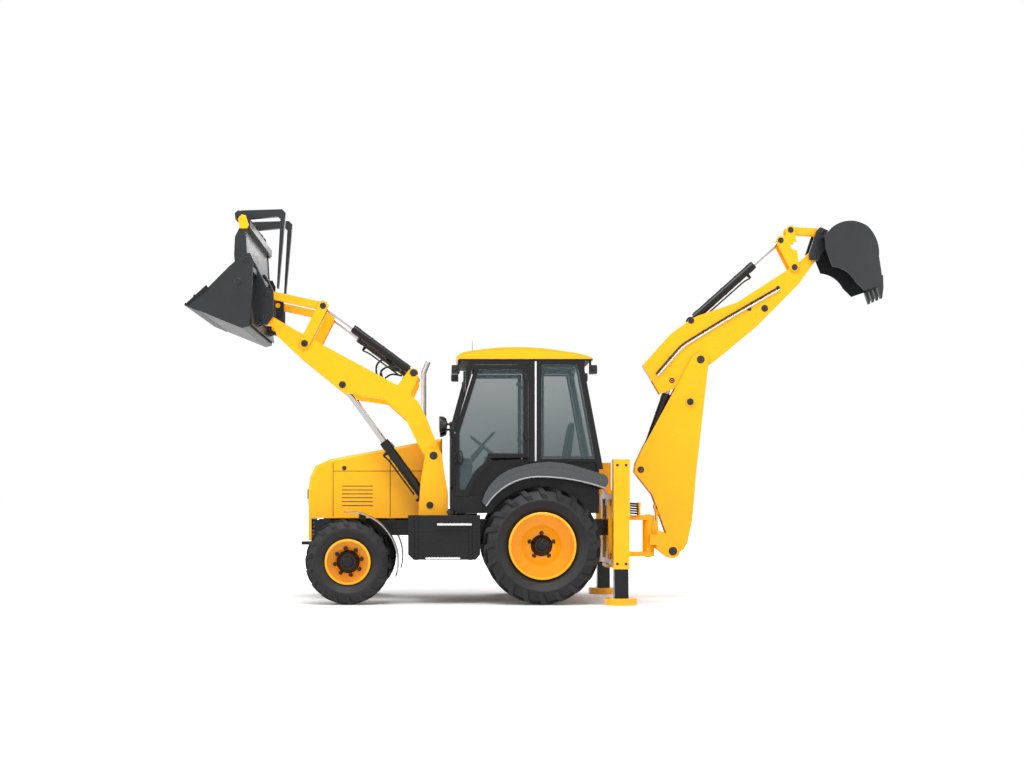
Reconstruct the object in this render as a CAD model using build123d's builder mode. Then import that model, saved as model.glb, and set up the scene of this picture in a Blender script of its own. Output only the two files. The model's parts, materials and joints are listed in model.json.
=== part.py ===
from build123d import *
import math
import os

# Backhoe loader with a six-in-one loader shovel, flip-over forks and a side-shift backhoe.
# Millimetres. X runs rearward, Y to the machine's right, Z up.
# The origin is on the ground, under the rear axle.

os.makedirs("parts", exist_ok=True)

# ---- clearances -----------------------------------------------------------
PIN_GAP = 1.0        # round a pin that turns in its bore
ROD_GAP = 1.0        # round a rod that slides in its barrel
SIDE_GAP = 2.0       # between an ear and the eye beside it
RUN_GAP = 5.0        # between panels that move past each other
SLIDE_GAP = 0.5      # on each face of a slide in its guide
SEAT_GAP = 0.3       # between pieces of one body that seat on each other

# ---- wheels ---------------------------------------------------------------
WHEELBASE = 2172
OVERALL_WIDTH = 2350
REAR_TYRE_R = 660
REAR_TYRE_WIDTH = 430
REAR_RIM_R = 377
REAR_HUB_R = 110
FRONT_TYRE_R = 480
FRONT_TYRE_WIDTH = 320
FRONT_RIM_R = 257
FRONT_HUB_R = 120
FRONT_TYRE_INSET = 50       # front tyre's outer face inside the overall width
RIM_WALL = 12
REAR_LUGS = (20, 36)        # lugs in each of a tyre's two rows, and their height
FRONT_LUGS = (18, 20)
STUB_R = 45
STUB_DEPTH = 70

# ---- chassis --------------------------------------------------------------
RAIL_INNER = 300
RAIL_OUTER = 380
RAIL_BOTTOM = 760
RAIL_TOP = 940
RAIL_FRONT = -2600
RAIL_REAR = 800
CROSS_MEMBERS = (-2540, -1900, -1240, -420, 420)     # x of each cross member's middle
CROSS_LENGTH = 120
CROSS_HEIGHT = 60
TOW_PLATE = (-2780, -2480)   # towing plate under the nose, ahead of the rails
TOW_PLATE_HALF = 60
TOW_PLATE_Z = (640, 680)
TOW_EYE_X = -2720            # upright hole for the towing pin
TOW_EYE_R = 22

# ---- front axle and knuckles ----------------------------------------------
KINGPIN_Y = OVERALL_WIDTH / 2 - 405
KINGPIN_R = 30
YOKE_GAP = 230              # between the two arms of an axle end
YOKE_ARM = 40
KNUCKLE_R = 55
BEAM_END = KINGPIN_Y - 130
MUDGUARD_R = 567
MUDGUARD_SHEET = 12

# ---- bonnet and engine ----------------------------------------------------
BONNET_HALF = 430
BONNET_WALL = 25
BONNET_REAR = -1120
NOSE_X = -2665
BONNET_BOTTOM = RAIL_TOP + 20
BONNET_SEATS = (-2450, -1700, -1180)
NOSE_SHOULDER = 1350         # the bonnet's long edges are rounded above this height
BONNET_ROUND = 35
GRILLE_SLOTS = 8
GRILLE_BOTTOM = 770
GRILLE_PITCH = 48
GRILLE_SLOT = 26
GRILLE_HALF = 300
BONNET_SLOPE = (1884 - 1813) / (1500 - 1120)
ENGINE_HALF = 280
ENGINE_HEIGHT = 660
STACK_X = -1345             # exhaust stack on the bonnet's right side
STACK_Y = 390
STACK_R = 33

# ---- cab ------------------------------------------------------------------
CAB_HALF = 762              # outer face of the doors
DOOR_THICK = 40
CAB_FLOOR = 1020
FLOOR_THICK = 40
ROOF_EAVE = 2765            # underside of the roof
GLASS = 6
HINGE_X = -145
HINGE_OUT = 20              # hinge axis outside the door's face
HINGE_R = 14                # hinge knuckle
HINGE_PIN_R = 7
DOOR_HINGES = (1910, 2590)  # height of each hinge
DOOR_AXIS_X = HINGE_X - 20
DOOR_AXIS_Y = CAB_HALF + HINGE_OUT
CAB_FRONT = -1030
CAB_INNER = 700             # inner face of the posts
FENDER_INNER = CAB_HALF + SEAT_GAP
FENDER_OUTER = 1170
FENDER_SHEET = 14

# ---- loader: pivots in the side view, (x, z) -------------------------------
ARM_PIVOT = (-1217, 1677)
ARM_TIP = (-3162, 3245)
LEVER_PIVOT = (-2691, 2958)
LEVER_TOP = (-2479, 3389)
LINK_PIN = (-3116, 3526)
TILT_BASE = (-1446, 2624)
LIFT_BASE = (-1258, 1112)
LIFT_EYE = (-2259, 2489)
CLAM_PIVOT = (-3296, 3844)
FORK_PIVOT = (-3450, 4440)
ARM_Y = 580                 # middle of each arm
ARM_THICK = 110
ARM_TUBE = 2095             # cross tube between the arms, from the pivot
ARM_TUBE_R = 65
LIFT_ROD_R = 30
TOWER_PLATE = 25
TOWER_GAP = 130             # between the two plates of a tower
LEVER_PLATE = 16
LINK_PLATE = 20
LOADER_PIN_R = 30
RAM_EYE_R = 50
RAM_EYE_WIDTH = 50
SHOVEL_HALF = 1175
SHOVEL_PLATE = 25
EAR_PLATE = 25
FORK_Y = 400
FORK_WIDTH = 80
FORK_BAR_R = 25

# ---- backhoe: pivots in the side view, (x, z) ------------------------------
SLEW_X = 1317
BOOM_FOOT = (1591, 568)
BOOM_HEAD = (1922, 2822)
BOOM_RAM_BASE = (1434, 1086)
BOOM_RAM_EYE = (1798, 2323)
DIPPER_RAM_BASE = (1218, 1525)
DIPPER_RAM_EYE = (1588, 2576)
BUCKET_RAM_BASE = (1814, 3282)
BUCKET_PIVOT = (3240, 4042)
TIP_LEVER_PIVOT = (3028, 3908)
TIP_RAM_EYE = (2865, 4224)
TIP_LINK_TOP = (2982, 4347)
BUCKET_LINK_PIN = (3332, 4327)
BOOM_HALF = 100             # outer face of the boom's plates
BOOM_PLATE = 25
DIPPER_HALF = 68
HOE_PIN_R = 34
BUCKET_HALF = 310
BUCKET_SIDE = 15
BUCKET_SHEET = 20

# ---- rear frame and stabilisers --------------------------------------------
COLUMN_X = 883
COLUMN_SIZE = 180
COLUMN_WALL = 12
COLUMN_OUTER = 1110
COLUMN_BOTTOM = 400
COLUMN_TOP = 1626
LEG_SIZE = COLUMN_SIZE - 2 * COLUMN_WALL - 2 * SLIDE_GAP
LEG_TOP = 1300
PAD_R = 178
PAD_THICK = 70
FRAME_RAILS = ((420, 560), (1100, 1240))     # bottom and top of each cross rail
FRAME_RAIL_X = (820, 950)
CARRIAGE_HALF = 250
LUG_THICK = 60
LOWER_LUG = 500             # underside of each lug
UPPER_LUG = 930
POST_R = 70
POST_PIN_R = 40

# Each ram: where it stands on its base, its eye, and how its barrel and rod divide the length.
#       name      base              eye               barrel_r rod_r barrel_end rod_tail
RAMS = {
    "lift": (LIFT_BASE, LIFT_EYE, 55, LIFT_ROD_R, 900, 670),
    "tilt": (TILT_BASE, LEVER_TOP, 48, 26, 865, 440),
    "boom": (BOOM_RAM_BASE, BOOM_RAM_EYE, 57, 33, 1170, 130),
    "dipper": (DIPPER_RAM_BASE, DIPPER_RAM_EYE, 52, 30, 950, 178),
    "bucket": (BUCKET_RAM_BASE, TIP_RAM_EYE, 50, 28, 1000, 425),
}
RAM_NECK = 40               # narrow part between the base eye and the barrel
BORE_FLOOR = 85             # closed end of the bore, from the base pin
SIDES = (("left", -1), ("right", 1))


def side(y):
    """The side-view plane at y: local x runs rearward and local y runs up."""
    return Plane.XZ.offset(-y)


def between(start, end, y=0.0):
    """Side-view plane with its origin at start and local x towards end."""
    run = (end[0] - start[0], 0, end[1] - start[1])
    return Plane(origin=(start[0], y, start[1]), x_dir=run, z_dir=(0, -1, 0))


def step(start, end, distance):
    """The place at a distance from start on the way to end."""
    share = distance / math.dist(start, end)
    return (start[0] + (end[0] - start[0]) * share, start[1] + (end[1] - start[1]) * share)


def plate(points, y, thickness, mode=Mode.ADD, plane=None):
    """A flat plate with this outline in the side view, its middle at y."""
    with BuildSketch(plane or side(y)) as outline:
        with BuildLine():
            Polyline(*points, close=True)
        make_face()
    extrude(outline.sketch, amount=thickness / 2, both=True, mode=mode)


def curved_plate(runs, y, thickness, mode=Mode.ADD):
    """A plate in the side view whose outline is runs of places: two make a line, three an arc."""
    with BuildSketch(side(y)) as outline:
        with BuildLine():
            for run in runs:
                if len(run) == 2:
                    Line(*run)
                else:
                    ThreePointArc(*run)
        make_face()
    extrude(outline.sketch, amount=thickness / 2, both=True, mode=mode)


def strap(start, end, radius, y, thickness, mode=Mode.ADD):
    """A round-ended flat strap between two places in the side view."""
    middle = step(start, end, math.dist(start, end) / 2)
    with BuildSketch(between(middle, end, y)) as outline:
        SlotCenterToCenter(math.dist(start, end), 2 * radius)
    extrude(outline.sketch, amount=thickness / 2, both=True, mode=mode)


def pin(place, radius, y0, y1, mode=Mode.ADD):
    """A round pin, boss or bore along Y from y0 to y1."""
    with BuildSketch(side((y0 + y1) / 2)) as section:
        with Locations(place):
            Circle(radius)
    extrude(section.sketch, amount=abs(y1 - y0) / 2, both=True, mode=mode)


def bar(start, end, radius, y=0.0, mode=Mode.ADD):
    """A round bar between two places in the side view."""
    run = (end[0] - start[0], 0, end[1] - start[1])
    with BuildSketch(Plane(origin=(start[0], y, start[1]), z_dir=run)) as section:
        Circle(radius)
    extrude(section.sketch, amount=math.dist(start, end), mode=mode)


def block(x0, x1, y0, y1, z0, z1, mode=Mode.ADD):
    """A rectangular block between these bounds."""
    with BuildSketch(Plane.XY.offset(z0)) as base:
        with Locations(((x0 + x1) / 2, (y0 + y1) / 2)):
            Rectangle(abs(x1 - x0), abs(y1 - y0))
    extrude(base.sketch, amount=z1 - z0, mode=mode)


def upright(x, y, radius, z0, z1, mode=Mode.ADD):
    """A round post along Z."""
    with BuildSketch(Plane.XY.offset(z0)) as base:
        with Locations((x, y)):
            Circle(radius)
    extrude(base.sketch, amount=z1 - z0, mode=mode)


def ram_barrel(ram, y, pin_r):
    """The barrel of a ram, with its base eye."""
    base, eye, barrel_r, rod_r, barrel_end, _ = ram
    front = step(base, eye, barrel_end)
    pin(base, RAM_EYE_R, y - RAM_EYE_WIDTH / 2, y + RAM_EYE_WIDTH / 2)
    bar(base, step(base, eye, RAM_EYE_R + RAM_NECK), RAM_EYE_WIDTH / 2, y)
    bar(step(base, eye, RAM_EYE_R + RAM_NECK / 2), front, barrel_r, y)
    bar(step(base, eye, BORE_FLOOR), front, rod_r + ROD_GAP, y, mode=Mode.SUBTRACT)
    pin(base, pin_r + PIN_GAP, y - RAM_EYE_WIDTH, y + RAM_EYE_WIDTH, mode=Mode.SUBTRACT)


def ram_rod(ram, y):
    """The rod of a ram, with its eye."""
    base, eye, _, rod_r, _, rod_tail = ram
    bar(step(base, eye, rod_tail), eye, rod_r, y)
    pin(eye, RAM_EYE_R, y - RAM_EYE_WIDTH / 2, y + RAM_EYE_WIDTH / 2)


def export(sketch_part, name):
    """Label a finished piece and write it."""
    sketch_part.part.label = name
    export_step(sketch_part.part, f"parts/{name}.step")


# ============================ chassis ========================================
with BuildPart() as chassis_frame:
    for _, s in SIDES:
        block(RAIL_FRONT, RAIL_REAR, s * RAIL_INNER, s * RAIL_OUTER, RAIL_BOTTOM, RAIL_TOP)
        for mount_x in (-900, 560):
            block(mount_x - 50, mount_x + 50, s * 310, s * 370, RAIL_TOP, CAB_FLOOR)
    for x in CROSS_MEMBERS:
        block(x - CROSS_LENGTH / 2, x + CROSS_LENGTH / 2, -RAIL_INNER, RAIL_INNER,
              RAIL_BOTTOM, RAIL_BOTTOM + CROSS_HEIGHT)
    block(-WHEELBASE - 110, -WHEELBASE + 110, -RAIL_OUTER, RAIL_OUTER,
          RAIL_BOTTOM - 60, RAIL_BOTTOM)
    for x in BONNET_SEATS:
        for _, s in SIDES:
            block(x - 40, x + 40, s * RAIL_OUTER, s * BONNET_HALF,
                  RAIL_TOP - 40, BONNET_BOTTOM - SEAT_GAP)
    block(*TOW_PLATE, -TOW_PLATE_HALF, TOW_PLATE_HALF, *TOW_PLATE_Z)
    block(RAIL_FRONT, TOW_PLATE[1], -TOW_PLATE_HALF, TOW_PLATE_HALF, TOW_PLATE_Z[1], RAIL_BOTTOM)
    upright(TOW_EYE_X, 0, TOW_EYE_R, *TOW_PLATE_Z, mode=Mode.SUBTRACT)
    block(-WHEELBASE - 90, -WHEELBASE + 90, -110, 110, FRONT_TYRE_R + 60, RAIL_BOTTOM - 60)
export(chassis_frame, "chassis_frame")

# Loader towers: two plates on each side, on a foot outside the rail, with the arm's and the ram's pins.
TOWER_OUTLINE = (
    (-190, RAIL_BOTTOM), (170, RAIL_BOTTOM), (165, 1250), (120, 1500), (95, ARM_PIVOT[1] + 20),
    (60, ARM_PIVOT[1] + 80), (-50, ARM_PIVOT[1] + 85), (-95, ARM_PIVOT[1] + 20), (-150, 1350),
)
with BuildPart() as loader_towers:
    for _, s in SIDES:
        for across in (-1, 1):
            plate([(ARM_PIVOT[0] + x, z) for x, z in TOWER_OUTLINE],
                  s * (ARM_Y + across * (TOWER_GAP + TOWER_PLATE) / 2), TOWER_PLATE)
        block(ARM_PIVOT[0] - 160, ARM_PIVOT[0] + 160,
              s * (RAIL_OUTER + SEAT_GAP), s * (ARM_Y + TOWER_GAP / 2 + TOWER_PLATE),
              RAIL_BOTTOM, RAIL_BOTTOM + 120)
        pin(ARM_PIVOT, LOADER_PIN_R + 5, s * 488, s * 672)
        pin(LIFT_BASE, LOADER_PIN_R, s * 488, s * 672)
export(loader_towers, "loader_towers")

with BuildPart() as engine_block:
    block(-2420, -1320, -ENGINE_HALF, ENGINE_HALF,
          RAIL_BOTTOM + CROSS_HEIGHT, RAIL_BOTTOM + CROSS_HEIGHT + ENGINE_HEIGHT)
export(engine_block, "engine_block")

BONNET_OUTLINE = (
    (BONNET_REAR, BONNET_BOTTOM), (BONNET_REAR, 1884), (-1500, 1813), (-2420, 1640),
    (-2590, 1560), (NOSE_X + 20, 1440), (NOSE_X, 1300), (NOSE_X, 700), (RAIL_FRONT - 30, 700),
    (RAIL_FRONT - 30, BONNET_BOTTOM),
)
BONNET_HOLLOW = (
    (BONNET_REAR + 1, 0), (BONNET_REAR + 1, 1884 - BONNET_WALL), (-1500, 1813 - BONNET_WALL),
    (-2415, 1640 - BONNET_WALL), (-2575, 1540), (NOSE_X + 45, 1430), (NOSE_X + 30, 1300),
    (NOSE_X + 30, 0),
)
with BuildPart() as bonnet:
    plate(BONNET_OUTLINE, 0, 2 * BONNET_HALF)
    fillet(
        bonnet.edges().filter_by(
            lambda edge: abs(abs(edge.center().Y) - BONNET_HALF) < 1 and edge.center().Z > NOSE_SHOULDER
        ),
        BONNET_ROUND,
    )
    plate(BONNET_HOLLOW, 0, 2 * (BONNET_HALF - BONNET_WALL), mode=Mode.SUBTRACT)
    for slot in range(GRILLE_SLOTS):
        slot_z = GRILLE_BOTTOM + slot * GRILLE_PITCH
        block(NOSE_X - 5, NOSE_X + 60, -GRILLE_HALF, GRILLE_HALF, slot_z, slot_z + GRILLE_SLOT,
              mode=Mode.SUBTRACT)
export(bonnet, "bonnet")

# ============================ axles and wheels ===============================
FRONT_CENTRE = (-WHEELBASE, FRONT_TYRE_R)
REAR_CENTRE = (0, REAR_TYRE_R)
YOKE_TOP = FRONT_TYRE_R + YOKE_GAP / 2
FRONT_OUT = OVERALL_WIDTH / 2 - FRONT_TYRE_INSET
FRONT_IN = FRONT_OUT - FRONT_TYRE_WIDTH
REAR_OUT = OVERALL_WIDTH / 2
REAR_IN = REAR_OUT - REAR_TYRE_WIDTH
FRONT_DISC = FRONT_IN + 120
REAR_DISC = REAR_IN + 150

with BuildPart() as front_axle:
    block(-WHEELBASE - 65, -WHEELBASE + 65, -BEAM_END, BEAM_END,
          FRONT_TYRE_R - 60, FRONT_TYRE_R + 60)
    for _, s in SIDES:
        block(-WHEELBASE - 60, -WHEELBASE + 60, s * (BEAM_END - 60), s * BEAM_END,
              FRONT_TYRE_R - YOKE_GAP / 2 - YOKE_ARM, YOKE_TOP + YOKE_ARM)
        for z0 in (FRONT_TYRE_R - YOKE_GAP / 2 - YOKE_ARM, YOKE_TOP):
            block(-WHEELBASE - 50, -WHEELBASE + 50, s * BEAM_END, s * KINGPIN_Y, z0, z0 + YOKE_ARM)
            upright(-WHEELBASE, s * KINGPIN_Y, 50, z0, z0 + YOKE_ARM)
            upright(-WHEELBASE, s * KINGPIN_Y, KINGPIN_R + PIN_GAP, z0, z0 + YOKE_ARM,
                    mode=Mode.SUBTRACT)
export(front_axle, "front_axle")

with BuildPart() as rear_axle:
    pin(REAR_CENTRE, 90, 85 - REAR_IN, REAR_IN - 85)
    pin(REAR_CENTRE, 170, -150, 150)
    for _, s in SIDES:
        block(-90, 90, s * RAIL_INNER, s * RAIL_OUTER, REAR_TYRE_R + 60, RAIL_BOTTOM)
        pin(REAR_CENTRE, 130, s * (REAR_IN - 145), s * (REAR_IN - 45))
        pin(REAR_CENTRE, STUB_R + 15, s * (REAR_IN - 45), s * (REAR_DISC + 5))
export(rear_axle, "rear_axle")


def wheel_rings(x, tyre_r, carcass_r, rim_r, y_in, y_out):
    """The tyre's carcass, a solid ring outside the rim, with y from the inner to the outer face."""
    crown = 0.015 * carcass_r
    shoulder = 0.18 * carcass_r
    lean = 0.10 * (y_out - y_in)
    low, high = tyre_r + rim_r, tyre_r + carcass_r
    with BuildSketch(Plane.YZ.offset(x)) as section:
        with BuildLine():
            Polyline(
                (y_in + 2 * lean, low), (y_in + lean, low + shoulder / 2), (y_in, low + 1.1 * shoulder),
                (y_in, high - shoulder), (y_in + 1.5 * lean, high - crown), ((y_in + y_out) / 2, high),
                (y_out - 1.5 * lean, high - crown), (y_out, high - shoulder), (y_out, low + 1.1 * shoulder),
                (y_out - lean, low + shoulder / 2), (y_out - 2 * lean, low),
                close=True,
            )
        make_face()
    revolve(section.sketch, axis=Axis((x, 0, tyre_r), (0, 1, 0)))


def wheel_lugs(x, tyre_r, y_in, y_out, count):
    """Two rows of slanted lugs, half a pitch apart, that meet near the tread's middle."""
    middle = (y_in + y_out) / 2
    half = abs(y_out - y_in) / 2
    wide = 0.075 * tyre_r
    lean = 0.24 * tyre_r
    depth = 0.28 * tyre_r
    with BuildPart(mode=Mode.PRIVATE) as lugs:
        for row in (-1, 1):
            inner_y = middle - row * 0.05 * half
            knee_y = middle + row * 0.74 * half
            outer_y = middle + row * 0.97 * half
            for lug in range(count):
                turn = 360 / count * (lug + (row + 1) / 4)
                radial = Plane(origin=(x, 0, tyre_r)).rotated((0, turn, 0))
                with BuildSketch(radial.offset(tyre_r - depth)) as foot:
                    with BuildLine():
                        Polyline((0, inner_y), (wide, inner_y), (lean + wide, knee_y),
                                 (lean + 1.3 * wide, outer_y), (lean + 0.1 * wide, outer_y),
                                 (lean - 0.1 * wide, knee_y), close=True)
                    make_face()
                extrude(foot.sketch, amount=depth)
        # the lugs end on one round tread with falling shoulders
        with BuildSketch(Plane.YZ.offset(x)) as outside:
            with BuildLine():
                top = 2 * tyre_r
                Polyline((middle - half - 9, top - 0.15 * tyre_r), (middle - 0.7 * half, top - 0.012 * tyre_r),
                         (middle, top), (middle + 0.7 * half, top - 0.012 * tyre_r),
                         (middle + half + 9, top - 0.15 * tyre_r), (middle + half + 9, top + 100),
                         (middle - half - 9, top + 100), close=True)
            make_face()
        revolve(outside.sketch, axis=Axis((x, 0, tyre_r), (0, 1, 0)), mode=Mode.SUBTRACT)
    add(lugs.part)


def wheel_disc(x, tyre_r, rim_r, hub_r, y_in, y_out, y_disc, stub_r):
    """The rim: a drum under the tyre, a dished disc and a hub with a blind bore on its inner face."""
    out = 1 if y_out > y_in else -1
    edge = rim_r - SEAT_GAP
    drum = edge - RIM_WALL
    lip = 14
    with BuildSketch(Plane.YZ.offset(x)) as section:
        with BuildLine():
            Polyline(
                (y_in + out * 45, tyre_r + edge),
                (y_out - out * 45, tyre_r + edge),
                (y_out - out * 38, tyre_r + edge - lip),
                (y_out - out * 38, tyre_r + drum - lip),
                (y_out - out * 60, tyre_r + drum),
                (y_disc + out * 20, tyre_r + drum),
                (y_disc + out * 5, tyre_r + 0.62 * drum),
                (y_disc + out * 40, tyre_r + hub_r + 12),
                (y_disc + out * 40, tyre_r + hub_r),
                (y_disc + out * 95, tyre_r + hub_r - 10),
                (y_disc + out * 110, tyre_r + hub_r - 35),
                (y_disc + out * 110, tyre_r),
                (y_disc - out * 45, tyre_r),
                (y_disc - out * 45, tyre_r + hub_r - 10),
                (y_disc + out * 20, tyre_r + hub_r - 5),
                (y_disc - out * 15, tyre_r + 0.62 * drum),
                (y_disc, tyre_r + drum - 15),
                (y_in + out * 45, tyre_r + drum),
                close=True,
            )
        make_face()
    revolve(section.sketch, axis=Axis((x, 0, tyre_r), (0, 1, 0)))
    pin((x, tyre_r), stub_r + PIN_GAP, y_disc - out * 46, y_disc - out * 45 + out * STUB_DEPTH,
        mode=Mode.SUBTRACT)



for name, s in SIDES:
    with BuildPart() as tyre_front:
        wheel_rings(-WHEELBASE, FRONT_TYRE_R, FRONT_TYRE_R - FRONT_LUGS[1], FRONT_RIM_R,
                    s * FRONT_IN, s * FRONT_OUT)
        wheel_lugs(-WHEELBASE, FRONT_TYRE_R, s * FRONT_IN, s * FRONT_OUT, FRONT_LUGS[0])
    export(tyre_front, f"tyre_front_{name}")
    with BuildPart() as rim_front:
        wheel_disc(-WHEELBASE, FRONT_TYRE_R, FRONT_RIM_R, FRONT_HUB_R,
                   s * FRONT_IN, s * FRONT_OUT, s * FRONT_DISC, STUB_R)
    export(rim_front, f"rim_front_{name}")
    with BuildPart() as tyre_rear:
        wheel_rings(0, REAR_TYRE_R, REAR_TYRE_R - REAR_LUGS[1], REAR_RIM_R, s * REAR_IN, s * REAR_OUT)
        wheel_lugs(0, REAR_TYRE_R, s * REAR_IN, s * REAR_OUT, REAR_LUGS[0])
    export(tyre_rear, f"tyre_rear_{name}")
    with BuildPart() as rim_rear:
        wheel_disc(0, REAR_TYRE_R, REAR_RIM_R, REAR_HUB_R,
                   s * REAR_IN, s * REAR_OUT, s * REAR_DISC, STUB_R + 15)
    export(rim_rear, f"rim_rear_{name}")
    # Steering knuckle with its spindle, and the mudguard that turns with it.
    with BuildPart() as knuckle:
        upright(-WHEELBASE, s * KINGPIN_Y, KNUCKLE_R,
                FRONT_TYRE_R - YOKE_GAP / 2 + SIDE_GAP, YOKE_TOP - SIDE_GAP)
        upright(-WHEELBASE, s * KINGPIN_Y, KINGPIN_R,
                FRONT_TYRE_R - YOKE_GAP / 2 - YOKE_ARM - 5, YOKE_TOP + YOKE_ARM + 5)
        pin(FRONT_CENTRE, STUB_R, s * KINGPIN_Y, s * (FRONT_DISC + 15))
        block(-WHEELBASE + 20, -WHEELBASE + 190, s * (KINGPIN_Y - 8), s * (KINGPIN_Y + 18),
              FRONT_TYRE_R - 40, FRONT_TYRE_R + 40)
        plate(
            (
                (-WHEELBASE + 110, FRONT_TYRE_R - 40), (-WHEELBASE + 190, FRONT_TYRE_R - 40),
                (-WHEELBASE + 190, FRONT_TYRE_R + 510), (-WHEELBASE + 110, FRONT_TYRE_R + 545),
            ),
            s * (KINGPIN_Y + 11), 14,
        )
        with BuildSketch(side(s * (KINGPIN_Y + FRONT_OUT) / 2)) as guard:
            with Locations(FRONT_CENTRE):
                Circle(MUDGUARD_R)
                Circle(MUDGUARD_R - MUDGUARD_SHEET, mode=Mode.SUBTRACT)
            with Locations((-WHEELBASE - 2 * MUDGUARD_R + 40, FRONT_TYRE_R)):
                Rectangle(4 * MUDGUARD_R - 80 - 80, 4 * MUDGUARD_R, align=(Align.CENTER, Align.CENTER),
                          mode=Mode.SUBTRACT)
            with Locations((-WHEELBASE, FRONT_TYRE_R - 160)):
                Rectangle(4 * MUDGUARD_R, 2 * MUDGUARD_R, align=(Align.CENTER, Align.MAX),
                          mode=Mode.SUBTRACT)
        extrude(guard.sketch, amount=(FRONT_OUT - KINGPIN_Y) / 2, both=True)
    export(knuckle, f"knuckle_{name}")

# ============================ side tanks, exhaust ============================
with BuildPart() as side_tanks:
    for _, s in SIDES:
        plate(
            ((-1500, 560), (-1440, 500), (-740, 500), (-690, 560), (-690, 1000), (-1500, 1000)),
            s * 840, 300,
        )
        block(-1180, -780, s * 990, s * 1060, 880, 905)
        block(-1310, -910, s * 990, s * 1060, 500, 525)
        for x in (-1000, -800):
            block(x - 40, x + 40, s * RAIL_OUTER, s * 690, RAIL_BOTTOM + 20, RAIL_BOTTOM + 80)
export(side_tanks, "side_tanks")

with BuildPart() as exhaust_stack:
    with BuildLine() as stack_path:
        stack_foot = 1884 - BONNET_SLOPE * (BONNET_REAR - STACK_X - STACK_R) + SEAT_GAP
        FilletPolyline((STACK_X, STACK_Y, stack_foot), (STACK_X, STACK_Y, 2700),
                       (STACK_X + 55, STACK_Y, 2835), radius=60)
    with BuildSketch(Plane(origin=stack_path.line @ 0, z_dir=stack_path.line % 0)) as tube:
        Circle(STACK_R)
        Circle(STACK_R - 5, mode=Mode.SUBTRACT)
    sweep(tube.sketch, path=stack_path.line)
export(exhaust_stack, "exhaust_stack")

# ============================ cab ============================================
POST_THICK = CAB_HALF - CAB_INNER
POST_Y = (CAB_HALF + CAB_INNER) / 2
FRONT_POST = (
    (CAB_FRONT, CAB_FLOOR), (CAB_FRONT + 55, CAB_FLOOR), (CAB_FRONT + 55, 1965),
    (-745, ROOF_EAVE), (-815, ROOF_EAVE), (CAB_FRONT, 1978),
)
MIDDLE_POST = ((HINGE_X + 5, 1600), (10, 1600), (10, ROOF_EAVE), (HINGE_X + 5, ROOF_EAVE))
REAR_POST = ((640, 1520), (712, 1520), (500, 2640), (500, ROOF_EAVE), (410, ROOF_EAVE))

with BuildPart() as cab_frame:
    block(CAB_FRONT, 650, -CAB_INNER, CAB_INNER, CAB_FLOOR, CAB_FLOOR + FLOOR_THICK)
    block(CAB_FRONT, CAB_FRONT + 30, -CAB_INNER, CAB_INNER, CAB_FLOOR + FLOOR_THICK, 1960)
    block(640, 670, -CAB_INNER, CAB_INNER, CAB_FLOOR, 1580)
    for _, s in SIDES:
        for outline in (FRONT_POST, MIDDLE_POST, REAR_POST):
            plate(outline, s * POST_Y, POST_THICK)
        block(-815, 500, s * CAB_INNER, s * CAB_HALF, ROOF_EAVE - 55, ROOF_EAVE)
        # sill below the door
        block(CAB_FRONT, -660, s * (CAB_INNER - 20), s * CAB_HALF, CAB_FLOOR, 1205)
        # fixed side behind and below the door, inside the wheel arch
        plate(
            (
                (CAB_FRONT + 30, CAB_FLOOR), (640, CAB_FLOOR), (640, 1620),
                (10, 1640), (-150, 1640), (-560, 1620), (-700, 1470), (-820, 1240), (CAB_FRONT + 30, 1215),
            ),
            s * (CAB_INNER - 10), 20,
        )
        block(10, 640, s * (CAB_INNER - 20), s * CAB_HALF, 1600, 1640)
    block(-815, -760, -CAB_INNER, CAB_INNER, ROOF_EAVE - 55, ROOF_EAVE)
    block(440, 500, -CAB_INNER, CAB_INNER, ROOF_EAVE - 55, ROOF_EAVE)
    for _, s in SIDES:
        # hinge sockets of the door
        for z in DOOR_HINGES:
            upright(DOOR_AXIS_X, s * DOOR_AXIS_Y, HINGE_R, z - 60, z - 22)
            block(DOOR_AXIS_X, HINGE_X + 45, s * CAB_HALF, s * (DOOR_AXIS_Y + 11), z - 60, z - 22)
            upright(DOOR_AXIS_X, s * DOOR_AXIS_Y, HINGE_PIN_R + PIN_GAP, z - 60, z - 22,
                    mode=Mode.SUBTRACT)
export(cab_frame, "cab_frame")

ROOF_RUNS = (
    ((-958, 2777), (-958, 2800)), ((-958, 2800), (-885, 2848), (-786, 2869)),
    ((-786, 2869), (-233, 2912), (300, 2860)), ((300, 2860), (455, 2835), (597, 2790)),
    ((597, 2790), (597, ROOF_EAVE)), ((597, ROOF_EAVE), (-940, ROOF_EAVE)), ((-940, ROOF_EAVE), (-958, 2777)),
)
with BuildPart() as cab_roof:
    curved_plate(ROOF_RUNS, 0, 2 * (CAB_HALF - 50))
    plate(((-958, 2777), (-950, 2795), (-786, 2850), (-233, 2890), (300, 2842), (597, 2782),
           (597, ROOF_EAVE), (-940, ROOF_EAVE)), 0, 2 * (CAB_HALF - 10))
export(cab_roof, "cab_roof")

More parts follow.
